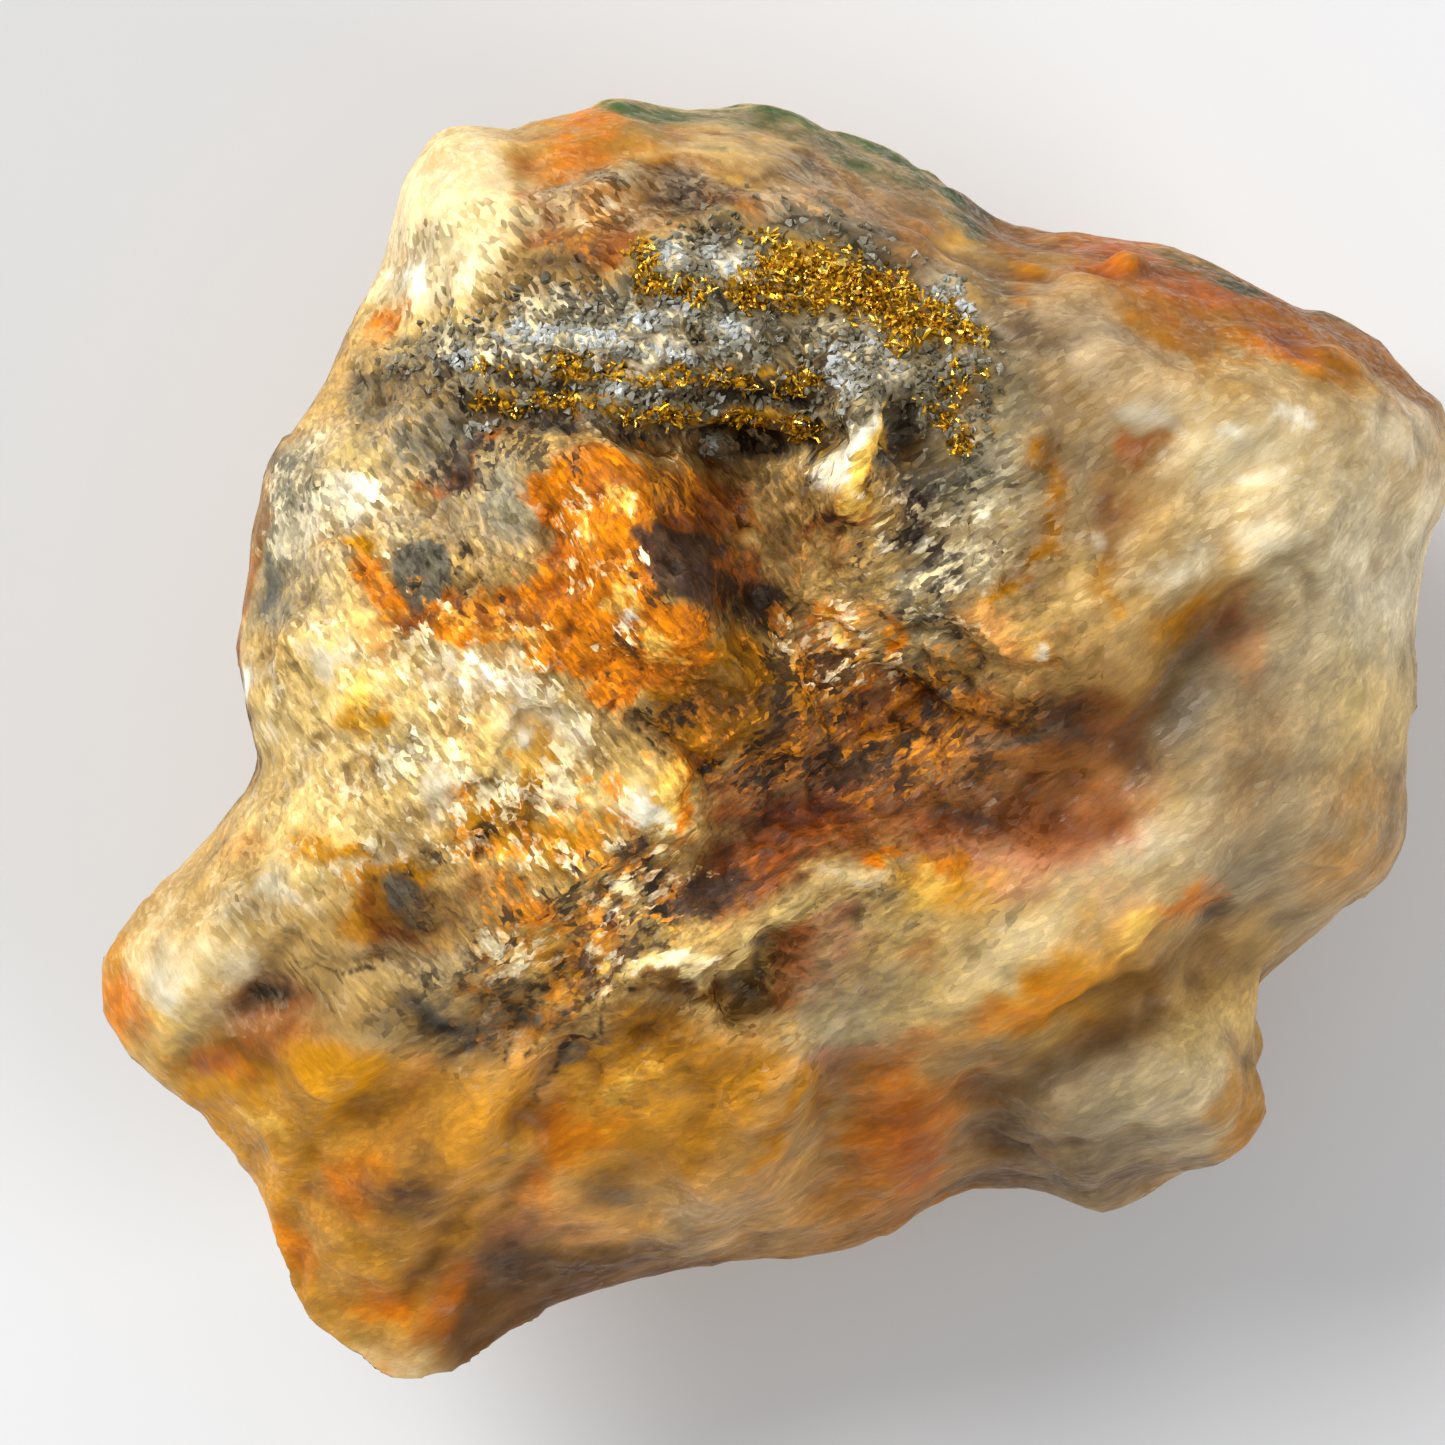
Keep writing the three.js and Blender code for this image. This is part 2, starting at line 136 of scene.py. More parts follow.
world.node_tree.links.new(either.outputs["Shader"], world.node_tree.nodes["World Output"].inputs["Surface"])
scene.world = world
scene.view_settings.view_transform = "Standard"

table_mesh = bpy.data.meshes.new("table")
TABLE = 1.5  # metres
table_mesh.from_pydata(
    [(-TABLE, -TABLE, 0), (TABLE, -TABLE, 0), (TABLE, TABLE, 0), (-TABLE, TABLE, 0)],
    [], [(0, 1, 2, 3)])
table = bpy.data.objects.new("table", table_mesh)
scene.collection.objects.link(table)
table_finish = bpy.data.materials.new("pale_table")
table_finish.use_nodes = True
table_finish.node_tree.nodes["Principled BSDF"].inputs["Base Color"].default_value = (
    0.64, 0.645, 0.66, 1.0)
table_finish.node_tree.nodes["Principled BSDF"].inputs["Roughness"].default_value = 0.9
table_mesh.materials.append(table_finish)

# %% [markdown]
# ## Rough numbers that repeat
# Broken stone is rough at every size. Instead of a texture, the roughness is worked out for
# every point of the mesh: a lattice of fixed pseudo-random numbers gives rolling noise, and
# scattered cells give the flat little facets and round grains of broken quartz. The numbers
# depend only on the place and a seed, so each run gives the same stone.

# %% Noise for arrays of points
def cell_random(cell, seed):
    """Three repeatable numbers from 0 to 1 for each whole-number cell."""
    a, b, c = (cell[:, k].astype(np.int64) for k in range(3))
    mixed = (a * 73856093) ^ (b * 19349663) ^ (c * 83492791) ^ (seed * 2654435761)
    numbers = []
    for turn in range(3):
        mixed = (mixed * 1103515245 + 12345 + turn * 7919) & 0x7FFFFFFF
        mixed = mixed ^ (mixed >> 13)
        numbers.append((mixed & 0xFFFF) / 65535.0)
    return np.stack(numbers, axis=1)


def rolling(points, size, seed=0):
    """Smooth noise from about -1 to 1, with lumps of the given size."""
    scaled = points / size
    base = np.floor(scaled)
    inside = scaled - base
    fade = inside ** 3 * (inside * (inside * 6 - 15) + 10)
    total = np.zeros(len(points))
    for corner in np.ndindex(2, 2, 2):
        corner = np.array(corner)
        slope = cell_random(base + corner, seed) * 2 - 1
        share = np.prod(np.where(corner == 1, fade, 1 - fade), axis=1)
        total += share * np.sum(slope * (inside - corner), axis=1)
    return total * 1.5


def broken_cells(points, size, seed=0):
    """For each point: the distance to the nearest cell's middle, in cells, and its facet height."""
    scaled = points / size
    base = np.floor(scaled)
    nearest = np.full(len(points), 9.0)
    facet = np.zeros(len(points))
    for corner in np.ndindex(3, 3, 3):
        cell = base + np.array(corner) - 1
        numbers = cell_random(cell, seed)
        offset = scaled - cell - numbers
        gap = np.sqrt(np.sum(offset ** 2, axis=1))
        tilt = cell_random(cell + 57, seed + 1) * 2 - 1
        closer = gap < nearest
        nearest = np.where(closer, gap, nearest)
        facet = np.where(closer, np.sum(offset * tilt, axis=1) + tilt[:, 0] * 0.3, facet)
    return nearest, facet


def ramp(low, high, value):
    """0 below low, 1 above high, and a smooth climb between them."""
    share = np.clip((value - low) / (high - low), 0, 1)
    return share * share * (3 - 2 * share)


trial = np.random.default_rng(1).random((2000, 3)) * 90
print("noise spread", round(float(np.std(rolling(trial, 3.0))), 3))

# %% [markdown]
# ## One closed skin
# The CAD lump has trenches that hold the gold seams, with a little clearance. In the real
# specimen the gold grows out of the quartz and there is no trench. So copies of the seams,
# grown a little wider and sunk a little lower, plug the trenches, and a voxel remesh turns
# everything into one even skin that is fine enough to carve.

# %% Plug the trenches and remesh
SKIN_STEP = 0.16  # mm between points of the skin
PLUG_GROWTH = 0.34  # mm, a little more than the clearance of the trench
PLUG_SINK = 0.25  # mm that the top of a plug lies lower than its seam


def merged_copy(node, name):
    """A copy of a CAD node with its loose triangles joined, at the origin."""
    copy = bpy.data.objects.new(name, frame["nodes"][node].data.copy())
    scene.collection.objects.link(copy)
    weld = copy.modifiers.new("weld", "WELD")
    weld.merge_threshold = 0.000002
    return flattened(copy)


def flattened(thing):
    """Replaces an object's mesh by what its modifiers make of it."""
    graph = bpy.context.evaluated_depsgraph_get()
    mesh = bpy.data.meshes.new_from_object(thing.evaluated_get(graph))
    thing.modifiers.clear()
    thing.data = mesh
    return thing


def points_of(mesh):
    places = np.zeros(len(mesh.vertices) * 3, np.float32)
    mesh.vertices.foreach_get("co", places)
    return places.reshape(-1, 3).astype(float) / MM


def normals_of(mesh):
    normals = np.zeros(len(mesh.vertices) * 3, np.float32)
    mesh.vertex_normals.foreach_get("vector", normals)
    return normals.reshape(-1, 3).astype(float)


def move_points(mesh, points):
    mesh.vertices.foreach_set("co", (points * MM).astype(np.float32).ravel())
    mesh.update()


def eased(mesh, points, rounds):
    """The points after some rounds of averaging with their neighbours."""
    links = np.zeros(len(mesh.edges) * 2, np.int32)
    mesh.edges.foreach_get("vertices", links)
    links = links.reshape(-1, 2)
    degree = np.maximum(np.bincount(links.ravel(), minlength=len(points)), 1)
    for _round in range(rounds):
        total = np.zeros_like(points)
        for axis in range(3):
            column = points[:, axis]
            total[:, axis] = (np.bincount(links[:, 0], column[links[:, 1]], len(points))
                              + np.bincount(links[:, 1], column[links[:, 0]], len(points)))
        points = 0.5 * points + 0.5 * total / degree[:, None]
    return points


parts = [merged_copy("quartz_matrix", "vein_quartz")]
for node in ("gold_upper_seam", "gold_lower_seam", "gold_side_cluster"):
    plug = merged_copy(node, "plug_" + node)
    points, normals = points_of(plug.data), normals_of(plug.data)
    sunk = ramp(0.2, 0.7, normals[:, 2])
    points += normals * (PLUG_GROWTH * (1 - sunk))[:, None]
    points[:, 2] -= PLUG_SINK * sunk
    move_points(plug.data, points)
    parts.append(plug)

vein_quartz = parts[0]
with bpy.context.temp_override(
        active_object=vein_quartz, selected_editable_objects=parts, selected_objects=parts):
    bpy.ops.object.join()


def reskinned(thing, rounds):
    """The same shape in an even skin, after some rounds of smoothing."""
    remesh = thing.modifiers.new("skin", "REMESH")
    remesh.mode = "VOXEL"
    remesh.voxel_size = SKIN_STEP * MM
    remesh.adaptivity = 0.0
    relax = thing.modifiers.new("relax", "SMOOTH")
    relax.factor = 0.5
    relax.iterations = rounds
    return flattened(thing)


reskinned(vein_quartz, 2)
vein_quartz.data.materials.clear()
print("skin points:", len(vein_quartz.data.vertices))

# %% [markdown]
# ## A thick rim
# Below its widest line the CAD solid comes straight back in, and that leaves a thin lip. A
# broken stone has a blunt side there. It could be sculpted, but a rule is even all round: the
# stone is cut into sectors like a cake, each sector knows its rim and its rest flat, and points
# below the rim move out to a rounded line between the two. The outline from above stays.

# %% Round the side below the rim
SECTORS = 180
BELLY = 2.0  # 1 would be a straight slope from the rest flat to the rim
RIM_MARGIN = 0.25  # mm that the side stays inside the outline


def around(values, turn):
    """Reads one value per sector at any turn around the stone, with a smooth change between."""
    middles = (np.arange(SECTORS) + 0.5) / SECTORS
    return np.interp(turn, middles, values, period=1.0)


def ring_mean(values, reach):
    return sum(np.roll(values, shift) for shift in range(-reach, reach + 1)) / (2 * reach + 1)


def turn_and_radius(points):
    turn = np.arctan2(points[:, 1], points[:, 0]) / (2 * math.pi) % 1.0
    return turn, np.hypot(points[:, 0], points[:, 1])


points, normals = points_of(vein_quartz.data), normals_of(vein_quartz.data)
turn, radius = turn_and_radius(points)
sector = np.minimum((turn * SECTORS).astype(int), SECTORS - 1)
outwards = np.argsort(radius)
rim_radius, rim_level, rest_radius = np.zeros(SECTORS), np.zeros(SECTORS), np.zeros(SECTORS)
rim_radius[sector[outwards]] = radius[outwards]
rim_level[sector[outwards]] = points[outwards, 2]
resting = outwards[points[outwards, 2] < 0.4]
rest_radius[sector[resting]] = radius[resting]
rim_level = ring_mean(rim_level, 4)
rest_radius = ring_mean(rest_radius, 6)
rim_inner = np.minimum(rim_radius, ring_mean(rim_radius, 2)) - RIM_MARGIN

height_share = points[:, 2] / around(rim_level, turn)
climb = np.clip(height_share, 0, 1)
round_side = around(rest_radius, turn)
round_side += (around(rim_inner, turn) - round_side) * (1 - (1 - climb) ** BELLY)
below = (1 - ramp(-0.1, 0.2, normals[:, 2])) * ramp(0.15, 0.8, climb) * (1 - ramp(0.95, 1.1, height_share))
outward = below * np.maximum(round_side - radius, 0)
points[:, :2] *= (1 + outward / np.maximum(radius, 1.0))[:, None]
move_points(vein_quartz.data, points)
reskinned(vein_quartz, 3)
print("the side moved out by up to", round(float(outward.max()), 2), "mm")
print("rim level", round(float(rim_level.min()), 1), "to", round(float(rim_level.max()), 1), "mm")

# %% [markdown]
# ## Where things lie on the face
# Every crack and stain is placed by a point or a path in millimetres, as seen from the camera.
# A point that stands higher is nearer to the camera and looks a little further out, so its
# place in the picture is worked out first.

# %% Places in the picture, and distance from a path
def picture_place(points):
    """Where each point appears, in mm on the plane at VIEW_LEVEL."""
    stretch = CAMERA_HEIGHT / (CAMERA_HEIGHT - (points[:, 2] - VIEW_LEVEL))
    middle = np.array(VIEW_CENTRE)
    return middle + (points[:, :2] - middle) * stretch[:, None]


def off_path(place, path):
    """The distance from a path, the side (+1 left, -1 right) and the share of the way along."""
    distance = np.full(len(place), 1e9)
    side = np.ones(len(place))
    along = np.zeros(len(place))
    for step in range(len(path) - 1):
        start, end = np.array(path[step]), np.array(path[step + 1])
        run = end - start
        share = np.clip((place - start) @ run / (run @ run), 0, 1)
        away = place - start - share[:, None] * run
        gap = np.hypot(away[:, 0], away[:, 1])
        closer = gap < distance
        distance = np.where(closer, gap, distance)
        turned = run[0] * (place[:, 1] - start[1]) - run[1] * (place[:, 0] - start[0])
        side = np.where(closer, np.where(turned >= 0, 1, -1), side)
        along = np.where(closer, (step + share) / (len(path) - 1), along)
    return distance, side, along


print("a test path:", np.round(off_path(np.array([[1.0, 1.0]]), [(0, 0), (2, 0)]), 2).ravel())

# %% [markdown]
# ## Fine landforms
# Ridges, furrows, ledges and pits that are too narrow for the CAD facets. Each one is a path
# with a height and two half-widths, one for each side, so a ridge can be steep on one side and
# gentle on the other. A negative height cuts in.

# %% Ridges and furrows by name
FINE_LANDFORMS = [
    ("nose_crest", 0.4, 0.7, 0.25, [(2.0, 7.0), (2.5, 8.4), (2.75, 9.9)]),
    ("nose_cheek", 0.35, 0.7, 0.7, [(0.6, 8.3), (1.4, 8.0), (2.0, 7.6)]),
    ("nose_pit", -0.3, 0.4, 0.4, [(3.4, 9.8), (3.6, 9.2)]),
    ("seam_shadow", -0.4, 0.5, 0.5,
     [(-9.4, 9.95), (-6.2, 9.5), (-4.0, 9.25), (-2.0, 9.0), (0.3, 8.9), (1.4, 9.2)]),
    ("strand_gap", -0.25, 0.3, 0.3,
     [(-8.4, 11.0), (-6.0, 10.75), (-3.5, 10.5), (-1.0, 10.4), (0.8, 10.1)]),
    ("seam_back_gap", -0.25, 0.35, 0.35,
     [(-7.5, 11.9), (-4.6, 11.6), (-2.0, 11.6), (0.6, 11.5), (2.4, 10.9)]),
    ("upper_seam_gap", -0.3, 0.3, 0.3,
     [(-2.4, 15.6), (0.0, 15.9), (1.6, 15.3), (3.4, 14.4), (5.2, 13.4), (6.8, 12.1)]),
    ("rust_crest", 0.6, 0.8, 1.3,
     [(-5.8, 8.6), (-4.9, 7.6), (-4.7, 6.4), (-4.2, 5.2), (-3.0, 4.0)]),
    ("rust_foot", -0.35, 0.5, 0.5, [(-7.3, 7.6), (-7.2, 6.4), (-6.2, 5.0), (-7.6, 4.4), (-9.8, 4.7)]),
    ("valley_eye", -0.4, 0.9, 0.9, [(-1.0, 4.3), (-0.4, 3.2)]),
    ("crevice", -0.4, 0.2, 0.28, [(-4.5, 0.9), (-4.0, 0.45), (-3.3, 0.1), (-2.7, -0.4), (-2.1, -0.7)]),
    ("short_crack", -0.25, 0.16, 0.22,
     [(-14.2, -6.6), (-13.6, -6.75), (-12.8, -6.5), (-11.8, -6.3), (-11.0, -6.5)]),
    ("pin_hole", -0.5, 0.35, 0.35, [(-8.9, -3.0), (-8.85, -3.15)]),
    ("ochre_lip", 0.3, 0.3, 0.4, [(-8.6, 0.9), (-7.8, 0.1), (-7.7, -0.8), (-8.1, -1.6)]),
    ("slip_groove", -0.22, 0.3, 0.5,
     [(-4.6, -7.2), (-6.3, -9.0), (-7.4, -10.4), (-8.3, -12.0), (-8.9, -13.1), (-10.5, -15.3),
      (-11.3, -16.9)]),
    ("lip_edge", 0.25, 0.5, 0.35,
     [(3.0, -3.7), (0.8, -4.1), (-0.4, -5.2), (-1.7, -6.3), (-2.6, -6.6), (-4.3, -6.7), (-5.2, -7.7)]),
    ("lip_hollow", -0.5, 0.6, 0.7, [(-0.4, -6.0), (-1.1, -7.1), (-1.3, -7.6)]),
    ("under_lip", -0.35, 0.5, 0.5, [(-1.6, -7.0), (-3.0, -7.3), (-4.4, -7.6)]),
    ("dark_step_a", -0.22, 0.25, 0.3, [(-0.8, -1.0), (0.8, -0.5), (2.6, 0.4), (4.2, 1.2)]),
    ("dark_step_b", -0.2, 0.25, 0.3, [(2.4, 2.4), (3.5, 1.9), (4.8, 1.0), (7.2, 0.2)]),
    ("knuckle_shade", -0.35, 0.4, 0.4, [(5.2, 3.2), (6.6, 2.1), (8.2, 2.2)]),
    ("furrow_a", -0.14, 0.35, 0.35, [(11.9, 9.6), (10.7, 8.4), (9.8, 7.2), (9.5, 5.9)]),
    ("furrow_b", -0.16, 0.3, 0.4, [(14.6, 8.6), (12.6, 7.2), (11.0, 5.4), (10.4, 4.2)]),
    ("furrow_c", -0.16, 0.4, 0.4, [(16.6, 7.4), (14.8, 5.8), (13.4, 4.4)]),
    ("furrow_d", -0.18, 0.3, 0.3, [(8.6, 9.8), (7.9, 8.0), (7.8, 6.4), (6.8, 4.9)]),
    ("slate_furrow", -0.12, 0.7, 0.8, [(13.6, 3.9), (12.2, 2.5), (11.3, 1.3), (10.6, -0.4)]),
    ("pearl_a", 0.35, 0.6, 0.6, [(8.8, 5.2), (9.3, 6.2)]),
    ("pearl_b", 0.35, 0.7, 0.7, [(11.2, 4.8), (12.0, 5.4)]),
    ("pearl_c", 0.35, 0.6, 0.6, [(14.0, 5.6), (15.2, 6.4)]),
    ("pearl_d", 0.3, 0.6, 0.6, [(13.2, 9.2), (14.3, 9.7)]),
    ("recess", -0.35, 0.5, 0.6, [(-15.8, -7.8), (-14.8, -7.2)]),
    ("lobe_furrow", -0.2, 0.3, 0.4, [(-18.0, -9.2), (-16.6, -8.2), (-15.6, -7.0), (-14.8, -5.8)]),
    ("fold_line", -0.15, 0.3, 0.4,
     [(-11.6, -9.8), (-13.3, -11.3), (-14.2, -13.0), (-14.8, -14.6)]),
    ("block_joint", -0.2, 0.25, 0.3, [(-7.7, 18.2), (-7.5, 16.4), (-7.6, 15.2), (-8.6, 13.9)]),
    ("brow_line", -0.15, 0.3, 0.3, [(-4.4, 17.6), (-2.0, 17.3), (0.4, 17.2), (2.6, 16.6)]),
    ("amber_dip", -0.4, 0.9, 0.9, [(1.2, -13.8), (1.8, -11.4), (1.6, -9.6)]),
]


def landforms(place, forms):
    """The height that a list of landforms adds at each place, in mm."""
    height = np.zeros(len(place))
    for _name, rise, left, right, path in forms:
        distance, side, _along = off_path(place, path)
        height += rise * np.exp(-((distance / np.where(side > 0, left, right)) ** 2))
    return height


print("fine landforms:", len(FINE_LANDFORMS))

# %% [markdown]
# ## Broken surface
# Vein quartz breaks into small flat chips, short steps and sugary grains. Three layers are
# added along the normals: chips from random cells, steps from a saw-tooth that runs through
# the stone, and rolling noise at several sizes. The grey band with the gold is the sugary
# part, so its grains stand out most.

# %% Carve the skin
STEP_SETS = [  # the direction the steps climb in, their spacing, their strength and a seed
    ((0.62, -0.45, 0.64), 1.9, 0.08, 11),
    ((-0.35, -0.72, 0.60), 1.2, 0.04, 12),
]
CHIPS = [(2.6, 0.16, 21), (1.1, 0.13, 22), (0.55, 0.09, 23)]  # size, height, seed
LUMPS = [(3.4, 0.22, 31), (1.5, 0.15, 32), (0.7, 0.07, 33)]
STRANDS = [(0.7, 0.09, 35)]  # width, height, seed of the streaky crystal grain
STRAND_LENGTH = 3.2  # times its width
FALLING, RISING = -52.0, 33.0  # degrees: the two ways that the grain runs
GRAIN_TURNS = [(-24, -15), (-13, -9.5), (-8.5, -6), (-4.5, -3), (-1.4, 0.5), (0.6, 5), (1.0, 22)]
FINE_SIZE = 1.2  # mm: smaller layers fade where the stone is smooth
CRISP_MIDDLE, CRISP_REACH = (-4.5, 3.0), (17.0, 17.0)  # mm: where the stone broke into sharp grains
SMOOTH_LEAST = 0.3  # what is left of the fine relief where the stone is smooth
FLANK_CHIPS = [(5.5, 0.8, 25), (2.4, 0.35, 26)]  # bigger chips on the sides and the underside
BRIM_CALM = 0.6  # share of the relief that the thin rim loses
CALM_ROUNDS = 5  # rounds of smoothing where the stone is massive, and on the sides
SUGAR = (0.5, 0.13, 41)  # grain size, height, seed
KNOBS = (1.25, 0.26, 45)  # the same for the knobbly ground to the right
KNOBBLY = [(7.0, 9.5), (7.5, 6.0), (10.5, 5.0), (11.0, 9.0)]
SUGARY_BAND = [(-12.5, 11.3), (-8.0, 11.6), (-3.0, 12.2), (1.5, 12.0), (6.0, 10.2)]


def crispness(place):
    """1 where the stone broke into sharp grains, and less where it is smooth and massive."""
    share = np.hypot((place[:, 0] - CRISP_MIDDLE[0]) / CRISP_REACH[0],
                     (place[:, 1] - CRISP_MIDDLE[1]) / CRISP_REACH[1])
    return SMOOTH_LEAST + (1 - SMOOTH_LEAST) * (1 - ramp(0.35, 1.1, share))


def grain_falls(place):
    """1 where the grain runs down to the right, 0 where it runs up to the right."""
    distance, side, _along = off_path(place, GRAIN_TURNS)
    return ramp(-0.8, 0.8, distance * side)


def drawn_out(points, degrees, length):
    """Coordinates that make noise run in streaks along a direction in the face."""
    angle = math.radians(degrees)
    along = points[:, 0] * math.cos(angle) + points[:, 1] * math.sin(angle)
    across = points[:, 1] * math.cos(angle) - points[:, 0] * math.sin(angle)
    return np.stack([along / length, across, points[:, 2]], axis=1)


def steps(points, direction, spacing, seed):
    """A saw-tooth from -1 to 0: long gentle treads and short steep risers."""
    way = points @ np.array(direction) / spacing + 0.9 * rolling(points, spacing * 2.6, seed)
    share = way - np.floor(way)
    return ramp(0.78, 1.0, share) - share


points, normals = points_of(vein_quartz.data), normals_of(vein_quartz.data)
place = picture_place(points)
seen = ramp(0.05, 0.5, normals[:, 2])
rest_calm = ramp(0.15, 1.2, points[:, 2])  # the rest flat stays flat
band_gap, _side, _along = off_path(place, SUGARY_BAND)
sugary = seen * (1 - ramp(1.8, 3.6, band_gap))

crisp = np.maximum(crispness(place) * seen, 0.75 * (1 - seen))
falls = grain_falls(place)

relief = seen * landforms(place, FINE_LANDFORMS)
for width, height, seed in STRANDS:
    falling = rolling(drawn_out(points, FALLING, STRAND_LENGTH), width, seed)
    rising = rolling(drawn_out(points, RISING, STRAND_LENGTH), width, seed + 5)
    relief += height * (falls * falling + (1 - falls) * rising) * crisp
for direction, spacing, strength, seed in STEP_SETS:
    patchy = ramp(-0.25, 0.35, rolling(points, 6.0, seed + 100))
    relief += strength * spacing * (steps(points, direction, spacing, seed) + 0.4) * patchy
for size, height, seed in CHIPS:
    relief += height * broken_cells(points, size, seed)[1] * (crisp if size < FINE_SIZE else 1.0)
for size, height, seed in FLANK_CHIPS:
    relief += height * (1 - seen) * broken_cells(points, size, seed)[1]
for size, height, seed in LUMPS:
    relief += height * rolling(points, size, seed) * (crisp if size < FINE_SIZE else 1.0)
grain_size, grain_height, grain_seed = SUGAR
grains = 0.5 - broken_cells(points, grain_size, grain_seed)[0]
knob_size, knob_height, knob_seed = KNOBS
knobs = 0.4 - broken_cells(points, knob_size, knob_seed)[0] ** 2
relief += knob_height * knobs * seen * (1 - ramp(1.2, 3.4, off_path(place, KNOBBLY)[0]))
relief += grain_height * grains * (0.3 * crisp + 0.9 * sugary)
turn, radius = turn_and_radius(points)
brim = (1 - ramp(0.5, 1.8, around(rim_radius, turn) - radius)) * (1 - ramp(0.3, 0.7, np.abs(normals[:, 2])))
points += normals * (relief * rest_calm * (1 - BRIM_CALM * brim))[:, None]
calm = np.maximum.reduce([brim, 0.8 * (1 - seen), 1 - ramp(0.5, 0.85, crispness(place))])
points += (eased(vein_quartz.data, points, CALM_ROUNDS) - points) * calm[:, None]
points[:, 2] = np.maximum(points[:, 2], 0.0)
move_points(vein_quartz.data, points)
print("relief from", round(float(relief.min()), 2), "to", round(float(relief.max()), 2), "mm")

# %% [markdown]
# ## Fewer triangles where no one looks
# The underside doesn't need such a fine skin. A vertex group marks it, and Decimate thins it
# by the share that would bring the whole piece down to MOST_TRIANGLES triangles.

# %% Thin the underside
MOST_TRIANGLES = 192000
vein_quartz.data.update()
under = 1 - ramp(-0.15, 0.35, normals_of(vein_quartz.data)[:, 2])
group = vein_quartz.vertex_groups.new(name="underside")
for level in range(1, 11):
    chosen = np.nonzero(np.round(under * 10) == level)[0]
    group.add([int(i) for i in chosen], level / 10, "REPLACE")
triangles_now = len(vein_quartz.data.polygons) * 2
thin = vein_quartz.modifiers.new("thin", "DECIMATE")
thin.ratio = min(1.0, MOST_TRIANGLES / triangles_now)
thin.vertex_group = "underside"
thin.use_collapse_triangulate = True
flattened(vein_quartz)
vein_quartz.vertex_groups.clear()
points = points_of(vein_quartz.data)
points[:, 2] = np.maximum(points[:, 2], 0.0)
move_points(vein_quartz.data, points)
print("quartz triangles:", triangles_now, "->", len(vein_quartz.data.polygons))

# %% [markdown]
# ## Stains and painted light
# Iron and manganese have soaked the quartz in patches. Each mineral tone gets its own mask on
# the mesh: a number from 0 to 1 at every point. The masks are built from blots (middle, two
# radii, turn in degrees) and streaks (half-width and a path), placed one by one. They stay soft
# here, because the material breaks their edges up with fine noise later.

# %% Blots and streaks
def blot(x, y, wide, tall, turn=0.0, strength=1.0):
    return ("blot", (x, y, wide, tall, turn), strength)


def streak(width, path, strength=1.0):
    return ("streak", (width, path), strength)


def field(soft, outline, strength=1.0):
    return ("field", (soft, outline), strength)
